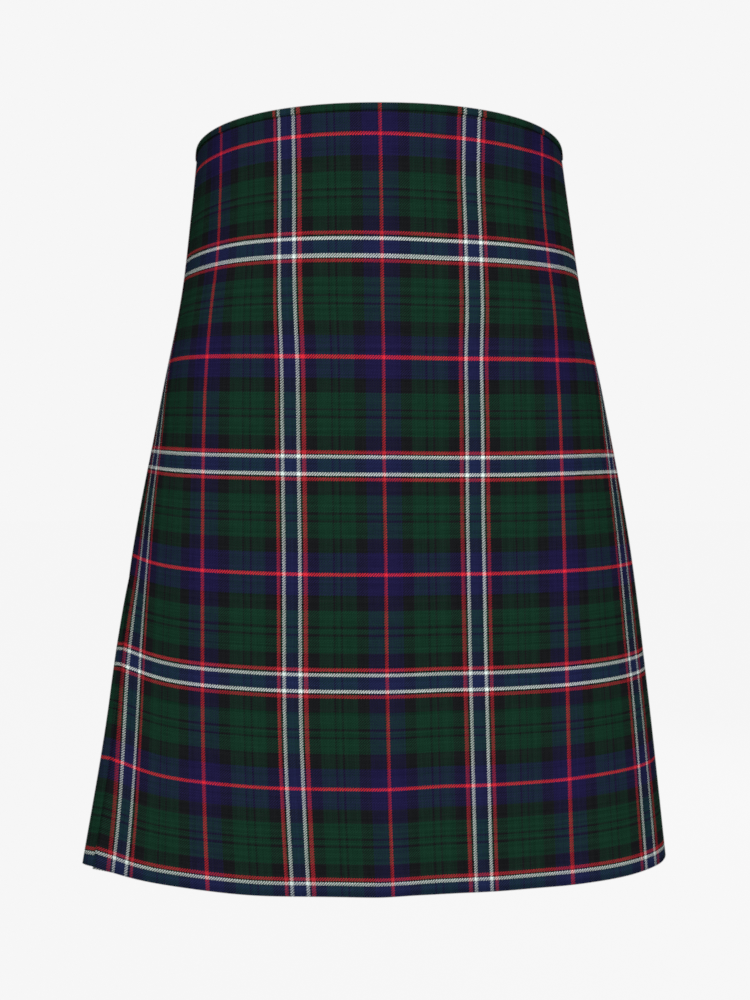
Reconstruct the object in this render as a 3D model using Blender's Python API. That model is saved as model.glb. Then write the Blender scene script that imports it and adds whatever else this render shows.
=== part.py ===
"""A worn tartan kilt, standing open as on a body: flat over and under aprons in front,
knife pleats round the back, a bound waist, and three leather straps with their buckles.

Every piece of cloth is a wall on one surface. The surface is a stack of level sections,
each with its own front and back half. A point on it is given by its height, by its arc
round the section from the middle of the front, and by its distance outside the surface.
The wearer faces -Y, and the wearer's left is at +X. The origin is the middle of the waist.
"""
import math
from collections import namedtuple

import bmesh
import bpy
import numpy as np

MM = 0.001

# ---------------------------------------------------------------- driving sizes, in mm
CLOTH_LENGTH = 609.9        # waist to hem along the cloth, 24 inches
CLOTH = 1.2                 # thickness of one layer of the wool
LAYER_GAP = 0.4             # air between pressed layers
SEAM_GAP = 0.3              # air between neighbouring pieces
FRONT_PLANE = -112.0        # y of the middle of the front, the same at every height
WALL_TOP = -1.6             # height of the cloth's top edge, inside its binding
SHARP_ANGLE = 40            # degrees between faces from which an edge is shaded sharp
SECTION_POINTS = 480        # round one level section
NORMAL_REACH = 3.0          # half the arc over which the outward direction is taken
HANG_STEPS = 24             # steps down a thread when its length is measured

Section = namedtuple(
    "Section", "height half_width front_depth front_power back_depth back_power side_shift")
SECTIONS = (
    Section(0, 160.8, 132.7, 2.16, 91, 2.20, 0.0),
    Section(60, 167.2, 129.1, 2.19, 105, 2.25, 1.0),
    Section(130, 173.9, 123.0, 2.50, 129, 2.35, 1.9),
    Section(220, 189.9, 117.0, 2.84, 150, 2.40, 2.6),
    Section(330, 210.6, 110.9, 2.55, 162, 2.35, 2.8),
    Section(460, 227.0, 94.9, 2.46, 184, 2.30, 0.5),
    Section(610, 244.8, 73.3, 2.39, 217, 2.25, -5.0),
)

# Arcs of the over apron's folded left side and its free right side, how far the right
# side of both aprons stands away from the body, and the arc of the last pleat's edge.
ApronSide = namedtuple("ApronSide", "height left_fold right_edge flare last_pleat")
APRON_SIDES = (
    ApronSide(0, 219, 219, 0.0, 235),
    ApronSide(130, 221, 221, 0.0, 237),
    ApronSide(220, 228, 227, 0.0, 243),
    ApronSide(330, 245, 232, 2.5, 249),
    ApronSide(400, 253, 222, 7.0, 251),
    ApronSide(460, 258, 217, 9.3, 253),
    ApronSide(610, 268, 228, 8.8, 257),
)
FLARE_REACH = 34.0          # arc over which the right side starts to stand away
UNDER_APRON_SHOWS = 14.0    # how far the under apron's fold reaches past the free edge
APRON_RETURN = 20.0         # cloth turned under at each apron's folded side
UNDER_LEVEL = -4.2          # outer face of the under apron and of the pleats' edges
UNDER_APRON_LAP = 4.0       # how far its hidden end runs past the first pleat's fold

PLEATS = 26
PLEAT_TUCK = 0.62           # hidden part of a fold, as a share of the pleats' spacing
FOLD_STEP = CLOTH + LAYER_GAP
EDGE_CORNER = 0.25          # how far a pleat edge's mitred corner stands proud
# Uneven hang of the edges: two waves along the arc and one outwards, each with its size,
# its turn from one pleat to the next, and its start (radians).
Wave = namedtuple("Wave", "size turn start")
ALONG_WAVES = (Wave(0.6, 2.4, 0.0), Wave(0.4, 5.1, 1.0))
OUTWARD_WAVE = Wave(0.4, 1.7, 0.5)
PressedPleat = namedtuple("PressedPleat", "height rise stray")
PLEAT_SHAPE = (             # depth of a pleat, and how unevenly its edge hangs
    PressedPleat(0, 5.1, 0.0),
    PressedPleat(210, 5.1, 0.0),
    PressedPleat(330, 6.2, 0.8),
    PressedPleat(460, 7.6, 1.8),
    PressedPleat(610, 9.0, 2.6),
)
LAST_TUCK = 46.0            # plain cloth that runs under the under apron's fold
LAST_SPANS = 4
LAST_EASE = 0.2             # how much each of its spans eases outwards

# Levels at which every wall has a row of points, as shares of the cloth's length.
ROWS = (0.0, 0.06, 0.13, 0.21, 0.29, 0.37, 0.46, 0.55, 0.64, 0.74, 0.87, 1.0)
APRON_SPANS = 32

BINDING = 1.0               # thickness of the waist binding
BINDING_DROP = 6.0          # how much of it shows outside
BINDING_INSIDE = 20.0       # its depth on the inside of the waist
APRON_BINDING_SPAN = 13.5   # between its points over the smooth aprons
PLEAT_BINDING_SPAN = 8.0    # and over the ridged pleats
BINDING_END_SET = 0.2       # from the over apron's free edge to its binding's end
BINDING_FOLD_SET = 2.0      # from its left fold to the binding's other end

STRAP_WIDTH = 28.0
STRAP_LEATHER = 2.0
STRAP_GAP = 0.5             # air between a strap and the cloth under and over it
STRAP_STEP = 4.0
STRAP_POINT = 12.0          # length of the strap's tapered end
STRAP_TIP = 0.35            # height of the tapered end's tip, as a share of the strap's
STRAP_DIP = 1.6             # how far it dips under the over apron's left fold
CLIMB_START = 2.6           # past the near bar, where the strap starts to climb
CLIMB_SHORT = 4.0           # how much shorter than the buckle the climb is
FALL_START = 1.6            # past the heel bar, where it starts down to the chape
FALL_LENGTH = 7.0
CHAPE_LEATHER = 1.3
CHAPE_LENGTH = 46.0
CHAPE_TALL = 23.0
CHAPE_BEND = 8.0            # from the heel bar to where the chape's layers lie flat
CHAPE_PARTS = 7             # spans of each flat layer
CHAPE_TURNS = 6             # spans round the heel bar
KEEPER_LEATHER = 1.2
KEEPER_AT = 24.0            # behind the buckle's heel bar
KEEPER_WIDTH = 8.0
KEEPER_SLACK = 0.2          # more air inside the keeper, between the chape's layers
BUCKLE_LONG = 19.4          # between the centres of the buckle's two upright bars
BUCKLE_TALL = 32.6          # between the centres of its level bars
BUCKLE_WIRE = 1.3           # radius of the wire
BUCKLE_CORNER = 4.0         # radius of the frame's corners
CORNER_PARTS = 3            # points round each corner
WIRE_SIDES = 6
PRONG_WIRE = 1.0
PRONG_SPANS = 5
PRONG_OVERHANG = 1.2        # how far the prong's tip reaches past the near bar
HOLE_LONG = 9.0             # the prong's hole, along the strap
HOLE_HALF_TALL = 2.2
HOLE_LOW = 0.6              # its cutter starts this far above the pleats
HOLE_HIGH = 6.5             # and ends this far above the buckle's middle

# Levels of the fastenings, as distances outside the surface.
BUCKLE_LEVEL = UNDER_LEVEL + STRAP_GAP + STRAP_LEATHER + SEAM_GAP + BUCKLE_WIRE
CHAPE_LOWER = UNDER_LEVEL + STRAP_GAP + CHAPE_LEATHER / 2
CHAPE_UPPER = CHAPE_LOWER + CHAPE_LEATHER + KEEPER_LEATHER + 2 * SEAM_GAP + KEEPER_SLACK

Strap = namedtuple("Strap", "name side height root buckle tail under_fold")
STRAPS = (                  # distances run backwards from the over apron's edge
    Strap("left_waist", 1, 32.0, -10.0, 54.0, 104.0, True),
    Strap("right_waist", -1, 32.0, -24.0, 52.0, 102.0, False),
    Strap("right_hip", -1, 165.0, -24.0, 50.0, 100.0, False),
)

Finish = namedtuple("Finish", "color roughness metallic")
GREEN_WOOL = Finish((0.012, 0.042, 0.026), 0.9, 0.0)
NAVY_WOOL = Finish((0.013, 0.013, 0.075), 0.9, 0.0)
BLACK_LEATHER = Finish((0.012, 0.011, 0.010), 0.45, 0.0)
NICKEL = Finish((0.62, 0.61, 0.58), 0.28, 1.0)


# ---------------------------------------------------------------- the surface
def smooth(table, column, height):
    """A column of a table as a smooth curve through its rows."""
    xs = [row.height for row in table]
    ys = [getattr(row, column) for row in table]
    height = min(max(height, xs[0]), xs[-1])
    slopes = [(ys[i + 1] - ys[i]) / (xs[i + 1] - xs[i]) for i in range(len(xs) - 1)]
    knots = [slopes[0]] + [(a + b) / 2 if a * b > 0 else 0.0
                           for a, b in zip(slopes, slopes[1:])] + [slopes[-1]]
    i = max(k for k in range(len(xs) - 1) if xs[k] <= height)
    step = xs[i + 1] - xs[i]
    t = (height - xs[i]) / step
    return (ys[i] * (1 + 2 * t) * (1 - t) ** 2 + ys[i + 1] * t * t * (3 - 2 * t)
            + step * (knots[i] * t * (1 - t) ** 2 - knots[i + 1] * t * t * (1 - t)))


def ease(t):
    """0 to 1 with level ends."""
    t = min(max(t, 0.0), 1.0)
    return t * t * (3 - 2 * t)


_outlines = {}


def outline(depth):
    """Points round the section at a depth below the waist, their arcs, and its length."""
    key = round(depth, 4)
    if key not in _outlines:
        turn = np.linspace(0.0, 2 * math.pi, SECTION_POINTS + 1)
        side, ahead = np.sin(turn), np.cos(turn)
        front_power = smooth(SECTIONS, "front_power", depth)
        back_power = smooth(SECTIONS, "back_power", depth)
        power = np.where(ahead > 0, front_power, back_power)
        reach = np.where(ahead > 0, smooth(SECTIONS, "front_depth", depth),
                         smooth(SECTIONS, "back_depth", depth))
        x = (smooth(SECTIONS, "half_width", depth) * np.sign(side)
             * np.abs(side) ** (2 / power) + smooth(SECTIONS, "side_shift", depth))
        widest = FRONT_PLANE + smooth(SECTIONS, "front_depth", depth)
        y = widest - reach * np.sign(ahead) * np.abs(ahead) ** (2 / power)
        arcs = np.concatenate([[0.0], np.cumsum(np.hypot(np.diff(x), np.diff(y)))])
        _outlines[key] = (x, y, arcs, arcs[-1])
    return _outlines[key]


def girth(depth):
    return outline(depth)[3]


def place(arc, depth, out):
    """The point (mm) at an arc and a depth, a distance outside the surface."""
    x, y, arcs, around = outline(depth)
    near = [np.interp((arc + step) % around, arcs, values)
            for values in (x, y) for step in (-NORMAL_REACH, 0.0, NORMAL_REACH)]
    run_x, run_y = near[2] - near[0], near[5] - near[3]
    length = math.hypot(run_x, run_y)
    return (near[1] + out * run_y / length, near[4] - out * run_x / length, -depth)


def left_fold(depth):
    return smooth(APRON_SIDES, "left_fold", depth)


def right_edge(depth):
    return smooth(APRON_SIDES, "right_edge", depth)


def under_fold(depth):
    return right_edge(depth) + UNDER_APRON_SHOWS


def thread_arc(hem_arc, depth):
    """Arc at a depth of the upright thread that ends at hem_arc: straight down in the
    aprons, and at a steady share of the way round in the pleats."""
    left, right = left_fold(CLOTH_LENGTH), right_edge(CLOTH_LENGTH)
    hem_arc %= girth(CLOTH_LENGTH)
    if hem_arc <= left:
        return hem_arc
    behind = girth(CLOTH_LENGTH) - right
    if hem_arc >= behind:
        return hem_arc - girth(CLOTH_LENGTH)
    share = (hem_arc - left) / (behind - left)
    return left + share * (girth(depth) - right - left)


_hems = {}


def hem_depth(hem_arc):
    """Depth of the hem where the cloth's length along its thread is used up."""
    key = round(hem_arc, 3)
    if key not in _hems:
        step = CLOTH_LENGTH / HANG_STEPS
        length, depth = 0.0, 0.0
        last = place(thread_arc(hem_arc, 0.0), 0.0, 0.0)
        while True:
            here = place(thread_arc(hem_arc, depth + step), depth + step, 0.0)
            run = math.dist(last, here)
            if length + run >= CLOTH_LENGTH:
                break
            length, depth, last = length + run, depth + step, here
        _hems[key] = depth + step * (CLOTH_LENGTH - length) / run
    return _hems[key]


def lift(arc, depth):
    """How far the aprons stand out near the wearer's right side."""
    reach = (-arc - under_fold(depth) + FLARE_REACH) / FLARE_REACH
    return smooth(APRON_SIDES, "flare", depth) * ease(reach)


# ---------------------------------------------------------------- making solids
def material(name, finish):
    mat = bpy.data.materials.get(name)
    if mat is None:
        mat = bpy.data.materials.new(name)
        mat.use_nodes = True
        shader = mat.node_tree.nodes["Principled BSDF"]
        shader.inputs["Base Color"].default_value = (*finish.color, 1.0)
        shader.inputs["Roughness"].default_value = finish.roughness
        shader.inputs["Metallic"].default_value = finish.metallic
        mat.diffuse_color = (*finish.color, 1.0)
    return mat


def finish_object(name, bm, mat):
    """Turn a bmesh in mm into an object in metres."""
    bmesh.ops.scale(bm, vec=(MM, MM, MM), verts=bm.verts)
    bmesh.ops.recalc_face_normals(bm, faces=bm.faces)
    mesh = bpy.data.meshes.new(name)
    bm.to_mesh(mesh)
    bm.free()
    mesh.materials.append(mat)
    mesh.shade_smooth()
    mesh.set_sharp_from_angle(angle=math.radians(SHARP_ANGLE))
    obj = bpy.data.objects.new(name, mesh)
    bpy.context.scene.collection.objects.link(obj)
    return obj


def cloth_wall(name, section, columns, mat):
    """A sheet whose row of points at each level is section(share), thickened evenly."""
    bm = bmesh.new()
    bmesh.ops.create_grid(bm, x_segments=columns - 1, y_segments=len(ROWS) - 1, size=1.0)
    bm.verts.ensure_lookup_table()
    for row, share in enumerate(ROWS):
        for column, point in enumerate(section(share)):
            bm.verts[row * columns + column].co = point
    obj = finish_object(name, bm, mat)
    thick = obj.modifiers.new("cloth", "SOLIDIFY")
    thick.thickness = CLOTH * MM
    thick.offset = 0.0
    thick.use_even_offset = True
    return obj


def loft(name, loops, mat, closed=False):
    """A solid through loops of equally many points, capped unless it closes on itself."""
    bm = bmesh.new()
    rings = [[bm.verts.new(point) for point in points] for points in loops]
    pairs = list(zip(rings, rings[1:]))
    if closed:
        pairs.append((rings[-1], rings[0]))
    for first, second in pairs:
        for i in range(len(first)):
            j = (i + 1) % len(first)
            bm.faces.new((first[i], first[j], second[j], second[i]))
    if not closed:
        bm.faces.new(rings[0])
        bm.faces.new(list(reversed(rings[-1])))
    return finish_object(name, bm, mat)


# ---------------------------------------------------------------- aprons
def level(share, hem_arc):
    """Depth of a row of points on the thread that ends at hem_arc."""
    return -WALL_TOP + share * (hem_depth(hem_arc) + WALL_TOP)


def wall_points(share, line):
    """Points of one row. line(depth) lists (arc, out) of the cloth's middle."""
    hem_arcs = [arc for arc, _ in line(CLOTH_LENGTH)]
    points = []
    for column, hem_arc in enumerate(hem_arcs):
        depth = level(share, hem_arc)
        arc, out = line(depth)[column]
        points.append(place(arc, depth, out))
    return points


def over_apron_line(depth):
    """From the free right edge across the front to the left fold, and back under it."""
    start, end = -right_edge(depth), left_fold(depth)
    arcs = [start + (end - start) * i / APRON_SPANS for i in range(APRON_SPANS + 1)]
    line = [(arc, lift(arc, depth) - CLOTH / 2) for arc in arcs]
    turned = -CLOTH / 2 - FOLD_STEP
    return line + [(end, turned), (end - APRON_RETURN / 2, turned),
                   (end - APRON_RETURN, turned)]


def under_apron_line(depth):
    """From its hidden left end across the front to the right fold, and back inside."""
    start = left_fold(depth) - (PLEAT_TUCK * pleat_spacing(depth) + UNDER_APRON_LAP)
    end = -under_fold(depth)
    arcs = [start + (end - start) * i / APRON_SPANS for i in range(APRON_SPANS + 1)]
    middle = UNDER_LEVEL - CLOTH / 2
    line = [(arc, lift(arc, depth) + middle) for arc in arcs]
    for back in (0.0, APRON_RETURN / 2, APRON_RETURN):
        arc = end + back
        line.append((arc, lift(arc, depth) + middle - FOLD_STEP))
    return line


def make_aprons():
    wool = material("green_wool", GREEN_WOOL)
    count = len(over_apron_line(0.0))
    cloth_wall("over_apron", lambda share: wall_points(share, over_apron_line), count, wool)
    cloth_wall("under_apron", lambda share: wall_points(share, under_apron_line), count, wool)


# ---------------------------------------------------------------- pleats
def pleat_span(depth):
    """Arcs of the apron's left fold, which the pleats start under, and of their end."""
    return left_fold(depth), girth(depth) - smooth(APRON_SIDES, "last_pleat", depth)


def pleat_spacing(depth):
    first, last = pleat_span(depth)
    return (last - first) / PLEATS


def stray(pleat, depth):
    """Uneven hang of one pleat's edge: along the arc, and outwards."""
    amount = smooth(PLEAT_SHAPE, "stray", depth)
    if pleat in (0, PLEATS):
        return 0.0, 0.0
    along = sum(wave.size * math.sin(wave.turn * pleat + wave.start) for wave in ALONG_WAVES)
    outward = OUTWARD_WAVE.size * (1 + math.sin(OUTWARD_WAVE.turn * pleat + OUTWARD_WAVE.start))
    return amount * along, amount * outward


def pleat_line(depth):
    """Middle of the pleated cloth. Each pleat comes out from under the one before it,
    reaches its edge at the wearer's right, and turns back inside by its tuck."""
    first, _ = pleat_span(depth)
    spacing = pleat_spacing(depth)
    tuck = PLEAT_TUCK * spacing
    rise = smooth(PLEAT_SHAPE, "rise", depth)
    edge_out = UNDER_LEVEL - CLOTH / 2 - EDGE_CORNER
    inner_out = edge_out - rise
    slope = rise / (spacing + tuck)
    half = rise * spacing / (spacing + tuck) / 2
    line = []
    for pleat in range(1, PLEATS + 1):
        before = first + (pleat - 1) * spacing
        edge = first + pleat * spacing
        along, outward = stray(pleat, depth)
        inner = before - tuck
        line += [(inner, inner_out),
                 (before, inner_out + slope * tuck),
                 (edge - tuck, inner_out + slope * spacing),
                 (edge + along, edge_out + outward),
                 (edge + along, edge_out + outward - half),
                 (edge - tuck, inner_out + slope * spacing - half)]
    tucked = first + PLEATS * spacing - tuck
    end = first + PLEATS * spacing + LAST_TUCK
    return line + [(tucked + (end - tucked) * part / LAST_SPANS, inner_out + LAST_EASE * part)
                   for part in range(LAST_SPANS + 1)]


def make_pleats():
    wool = material("navy_wool", NAVY_WOOL)
    cloth_wall("pleated_back", lambda share: wall_points(share, pleat_line),
               len(pleat_line(0.0)), wool)


# ---------------------------------------------------------------- waist binding
def binding_strip(name, start, end, span, outer, inner, inside, mat):
    """A binding folded over the top edge: outer and inner are the faces it must clear,
    and inside is how deep it goes behind them (0 leaves that leg off)."""
    far_out = outer + SEAM_GAP + BINDING
    far_in = inner - SEAM_GAP - BINDING if inside else inner
    profile = [(far_out, 0.0), (far_out, BINDING_DROP), (outer + SEAM_GAP, BINDING_DROP),
               (outer + SEAM_GAP, BINDING)]
    if inside:
        profile += [(inner - SEAM_GAP, BINDING), (inner - SEAM_GAP, inside),
                    (far_in, inside), (far_in, 0.0)]
    else:
        profile += [(far_in, BINDING), (far_in, 0.0)]
    spans = max(1, round(abs(end - start) / span))
    loops = []
    for i in range(spans + 1):
        arc = start + (end - start) * i / spans
        loops.append([place(arc, depth, out) for out, depth in profile])
    loft(name, loops, mat)


def make_binding():
    wool = material("green_wool", GREEN_WOOL)
    around = girth(0.0)
    left, right = left_fold(0.0), right_edge(0.0)
    fold = under_fold(0.0)
    binding_strip("binding_over", BINDING_END_SET - right, left - BINDING_FOLD_SET,
                  APRON_BINDING_SPAN, 0.0, -CLOTH, 0.0, wool)
    hidden_end = left - APRON_RETURN - CLOTH
    binding_strip("binding_under", -fold - CLOTH / 2, hidden_end, APRON_BINDING_SPAN,
                  UNDER_LEVEL, UNDER_LEVEL - CLOTH - FOLD_STEP, BINDING_INSIDE, wool)
    back_end = around - fold - CLOTH / 2 - SEAM_GAP
    pleat_depth = CLOTH + PLEAT_SHAPE[0].rise + 2 * EDGE_CORNER
    binding_strip("binding_back", left + CLOTH / 2 + SEAM_GAP, back_end, PLEAT_BINDING_SPAN,
                  UNDER_LEVEL, UNDER_LEVEL - pleat_depth, BINDING_INSIDE, wool)


# ---------------------------------------------------------------- straps and buckles
def along_strap(strap, back):
    """Arc at a distance behind the over apron's edge, on the strap's side."""
    edge = left_fold(strap.height) if strap.side > 0 else right_edge(strap.height)
    return strap.side * (edge + back)


def strap_seat(strap, back):
    """Level of the strap's underside: on the pleats, through the buckle, on the chape."""
    flat = UNDER_LEVEL + STRAP_GAP
    if strap.under_fold:
        flat -= STRAP_DIP * (1 - ease(back / pleat_spacing(strap.height)))
    over_bar = BUCKLE_LEVEL + BUCKLE_WIRE + CHAPE_LEATHER + 2 * SEAM_GAP
    on_chape = CHAPE_UPPER + CHAPE_LEATHER / 2 + SEAM_GAP
    from_near_bar = back - (strap.buckle - BUCKLE_LONG / 2)
    up = ease((from_near_bar - CLIMB_START) / (BUCKLE_LONG - CLIMB_SHORT))
    down = ease((from_near_bar - BUCKLE_LONG - FALL_START) / FALL_LENGTH)
    return flat + (over_bar - flat) * up - (over_bar - on_chape) * down


def strap_box(strap, back, half_height, low, high):
    """The four corners of a strap's section at a distance back."""
    arc = along_strap(strap, back)
    top, bottom = strap.height - half_height, strap.height + half_height
    return [place(arc, top, low), place(arc, bottom, low),
            place(arc, bottom, high), place(arc, top, high)]


def make_strap(strap, mat):
    count = round((strap.tail - strap.root) / STRAP_STEP)
    loops = []
    for i in range(count + 1):
        back = strap.root + (strap.tail - strap.root) * i / count
        left_over = strap.tail - back
        taper = min(1.0, STRAP_TIP + (1 - STRAP_TIP) * left_over / STRAP_POINT)
        low = strap_seat(strap, back)
        loops.append(strap_box(strap, back, STRAP_WIDTH / 2 * taper, low, low + STRAP_LEATHER))
    body = loft("strap_" + strap.name, loops, mat)
    hole = loft("strap_hole_" + strap.name, prong_hole(strap), mat)
    hole.hide_render = True
    hole.display_type = "WIRE"
    cut = body.modifiers.new("prong_hole", "BOOLEAN")
    cut.operation = "DIFFERENCE"
    cut.solver = "EXACT"
    cut.object = hole


def prong_hole(strap):
    """A short shaft through the strap where the prong comes up."""
    low, high = UNDER_LEVEL + HOLE_LOW, BUCKLE_LEVEL + HOLE_HIGH
    return [strap_box(strap, back, HOLE_HALF_TALL, low, high)
            for back in (strap.buckle - HOLE_LONG / 2, strap.buckle + HOLE_LONG / 2)]


def wire_ring(centre_line, across, along, radius):
    """Loops of a round wire: centre points with two directions each, all as
    (back, up, out) in the strap's own measures."""
    loops = []
    for centre, side, rise in zip(centre_line, across, along):
        loop = []
        for k in range(WIRE_SIDES):
            turn = 2 * math.pi * (k + 0.5) / WIRE_SIDES
            loop.append(tuple(c + radius * (math.cos(turn) * s + math.sin(turn) * r)
                              for c, s, r in zip(centre, side, rise)))
        loops.append(loop)
    return loops


def on_strap(strap, loops):
    """Carry loops of (back, up, out) onto the garment."""
    return [[place(along_strap(strap, back), strap.height - up, out)
             for back, up, out in loop] for loop in loops]


def make_buckle(strap, mat):
    """A rectangular wire frame with rounded corners."""
    half_long, half_tall = BUCKLE_LONG / 2, BUCKLE_TALL / 2
    centres, sides = [], []
    for quarter in range(4):
        for part in range(CORNER_PARTS):
            turn = math.pi / 2 * (quarter + part / (CORNER_PARTS - 1))
            cx = (half_long - BUCKLE_CORNER) * (1 if quarter in (0, 3) else -1)
            cy = (half_tall - BUCKLE_CORNER) * (1 if quarter in (0, 1) else -1)
            direction = (math.cos(turn), math.sin(turn), 0.0)
            centres.append((strap.buckle + cx + BUCKLE_CORNER * direction[0],
                            cy + BUCKLE_CORNER * direction[1], BUCKLE_LEVEL))
            sides.append(direction)
    outwards = [(0.0, 0.0, 1.0)] * len(centres)
    loops = wire_ring(centres, sides, outwards, BUCKLE_WIRE)
    loft("buckle_" + strap.name, on_strap(strap, loops), mat, closed=True)


def make_prong(strap, mat):
    """From the chape, up through the strap, onto the near bar."""
    heel = strap.buckle + BUCKLE_LONG / 2 - BUCKLE_WIRE - CHAPE_LEATHER - 2 * SEAM_GAP
    tip = strap.buckle - BUCKLE_LONG / 2 - PRONG_OVERHANG
    rest = BUCKLE_LEVEL + BUCKLE_WIRE + SEAM_GAP + PRONG_WIRE
    centres = []
    for part in range(PRONG_SPANS + 1):
        t = part / PRONG_SPANS
        centres.append((heel + (tip - heel) * t, 0.0,
                        BUCKLE_LEVEL + (rest - BUCKLE_LEVEL) * ease(t)))
    up = [(0.0, 1.0, 0.0)] * len(centres)
    out = [(0.0, 0.0, 1.0)] * len(centres)
    loops = wire_ring(centres, up, out, PRONG_WIRE)
    loft("prong_" + strap.name, on_strap(strap, loops), mat)


def chape_path(strap):
    """Middle of the chape: along the pleats, round the heel bar, and back on itself."""
    bar = strap.buckle + BUCKLE_LONG / 2
    wrap = BUCKLE_WIRE + SEAM_GAP + CHAPE_LEATHER / 2
    flat = [bar + CHAPE_BEND + (CHAPE_LENGTH - CHAPE_BEND) * part / CHAPE_PARTS
            for part in range(CHAPE_PARTS + 1)]
    path = [(back, CHAPE_LOWER) for back in reversed(flat)]
    for part in range(CHAPE_TURNS + 1):
        turn = math.pi * part / CHAPE_TURNS
        path.append((bar - wrap * math.sin(turn), BUCKLE_LEVEL - wrap * math.cos(turn)))
    return path + [(back, CHAPE_UPPER) for back in flat[:-1]]


def make_chape(strap, mat):
    path = chape_path(strap)
    half, height = CHAPE_LEATHER / 2, CHAPE_TALL / 2
    loops = []
    for i, (back, out) in enumerate(path):
        before, after = path[max(i - 1, 0)], path[min(i + 1, len(path) - 1)]
        run, rise = after[0] - before[0], after[1] - before[1]
        length = math.hypot(run, rise)
        side = (-rise / length * half, run / length * half)
        loops.append([(back - side[0], -height, out - side[1]),
                      (back - side[0], height, out - side[1]),
                      (back + side[0], height, out + side[1]),
                      (back + side[0], -height, out + side[1])])
    loft("chape_" + strap.name, on_strap(strap, loops), mat)


def make_keeper(strap, mat):
    """A leather loop round the strap's end and the chape's upper layer."""
    middle = strap.buckle + BUCKLE_LONG / 2 + KEEPER_AT
    low = CHAPE_UPPER - CHAPE_LEATHER / 2 - SEAM_GAP
    high = CHAPE_UPPER + CHAPE_LEATHER / 2 + SEAM_GAP + STRAP_LEATHER + SEAM_GAP
    tall = STRAP_WIDTH / 2 + SEAM_GAP
    thick = KEEPER_LEATHER
    loops = []
    for up, out in ((-1, -1), (1, -1), (1, 1), (-1, 1)):
        edge = low if out < 0 else high
        loops.append([(middle - KEEPER_WIDTH / 2, up * tall, edge),
                      (middle + KEEPER_WIDTH / 2, up * tall, edge),
                      (middle + KEEPER_WIDTH / 2, up * (tall + thick), edge + out * thick),
                      (middle - KEEPER_WIDTH / 2, up * (tall + thick), edge + out * thick)])
    loft("keeper_" + strap.name, on_strap(strap, loops), mat, closed=True)


def make_fastenings():
    leather = material("black_leather", BLACK_LEATHER)
    metal = material("nickel", NICKEL)
    for strap in STRAPS:
        make_strap(strap, leather)
        make_buckle(strap, metal)
        make_prong(strap, metal)
        make_chape(strap, leather)
        make_keeper(strap, leather)


def main():
    for obj in list(bpy.data.objects):
        bpy.data.objects.remove(obj, do_unlink=True)
    make_aprons()
    make_pleats()
    make_binding()
    make_fastenings()


main()
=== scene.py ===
"""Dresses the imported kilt: checked twill wool in flat aprons and knife pleats, a bound
waist, and three leather straps with nickel buckles, in a plain pale studio.

All cloth lies on one form, a stack of level sections. A point on it is given by its arc
round the section from the middle of the front, its depth below the waist and its
distance outside the form, all in millimetres. The wearer faces -Y, left hand at +X.
"""

import bisect
import logging
import math
from dataclasses import dataclass, field
from enum import Enum
from typing import Callable, ClassVar, Iterable, NamedTuple, Optional, Sequence, Union

import bmesh
import bpy
import numpy as np
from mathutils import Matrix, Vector


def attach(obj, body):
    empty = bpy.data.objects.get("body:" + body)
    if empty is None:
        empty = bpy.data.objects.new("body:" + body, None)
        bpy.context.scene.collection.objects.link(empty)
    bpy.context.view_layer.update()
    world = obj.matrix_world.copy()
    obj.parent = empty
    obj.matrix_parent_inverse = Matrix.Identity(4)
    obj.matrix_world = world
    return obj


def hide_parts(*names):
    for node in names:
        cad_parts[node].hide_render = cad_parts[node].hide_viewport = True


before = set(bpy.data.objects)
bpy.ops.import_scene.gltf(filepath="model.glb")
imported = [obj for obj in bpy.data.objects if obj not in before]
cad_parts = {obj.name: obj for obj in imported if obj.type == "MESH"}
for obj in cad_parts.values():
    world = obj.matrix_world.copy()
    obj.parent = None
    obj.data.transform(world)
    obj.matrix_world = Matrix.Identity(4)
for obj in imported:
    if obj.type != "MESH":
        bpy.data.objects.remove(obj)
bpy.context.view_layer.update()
LOG = logging.getLogger("kilt")
MM = 0.001
SHARP_ANGLE = math.radians(55)
BEVEL_ANGLE = math.radians(60)
Number = Union[int, float]

# Sizes in mm that several pieces share; a level is a distance outside the form.
CLOTH_THICKNESS = 1.2
UNDER_LEVEL = -4.2
FOLD_STEP = 1.6
TURNED_INSIDE = 20.0
SEAM_GAP = 0.3
WARP_HALF = 71.3
WEFT_HALF = 83.5


# ------------------------------------------------------------------ curves and tables
@dataclass(frozen=True)
class Curve:
    """A smooth curve through a short table of values."""

    at: tuple
    values: tuple

    def __call__(self, x: float) -> float:
        """Read the curve.

        Args:
            x: where to read it; it is held at the table's ends.

        Returns:
            The smooth value there.
        """
        xs, ys = self.at, self.values
        x = min(max(x, xs[0]), xs[-1])
        i = min(bisect.bisect_right(xs, x), len(xs) - 1) - 1
        step = xs[i + 1] - xs[i]
        t = (x - xs[i]) / step
        return (ys[i] * (1 + 2 * t) * (1 - t) ** 2 + ys[i + 1] * t * t * (3 - 2 * t)
                + step * (self.lean(i) * t * (1 - t) ** 2 - self.lean(i + 1) * t * t * (1 - t)))

    def lean(self, knot: int) -> float:
        """Find the curve's slope at one value.

        Args:
            knot: which value.

        Returns:
            The mean of the slopes on its two sides, or 0 at a peak or a dip.
        """
        xs, ys = self.at, self.values
        slopes = [(ys[k + 1] - ys[k]) / (xs[k + 1] - xs[k])
                  for k in (knot - 1, knot) if 0 <= k < len(xs) - 1]
        return (slopes[0] + slopes[-1]) / 2 if slopes[0] * slopes[-1] > 0 else 0.0


def column(rows: Sequence[NamedTuple], name: str) -> Curve:
    """Make a curve of one named column of a table, against its first column."""
    return Curve(tuple(row[0] for row in rows), tuple(getattr(row, name) for row in rows))


def ease(t: float) -> float:
    """Go from 0 to 1 with level ends."""
    t = min(max(t, 0.0), 1.0)
    return t * t * (3 - 2 * t)


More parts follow.
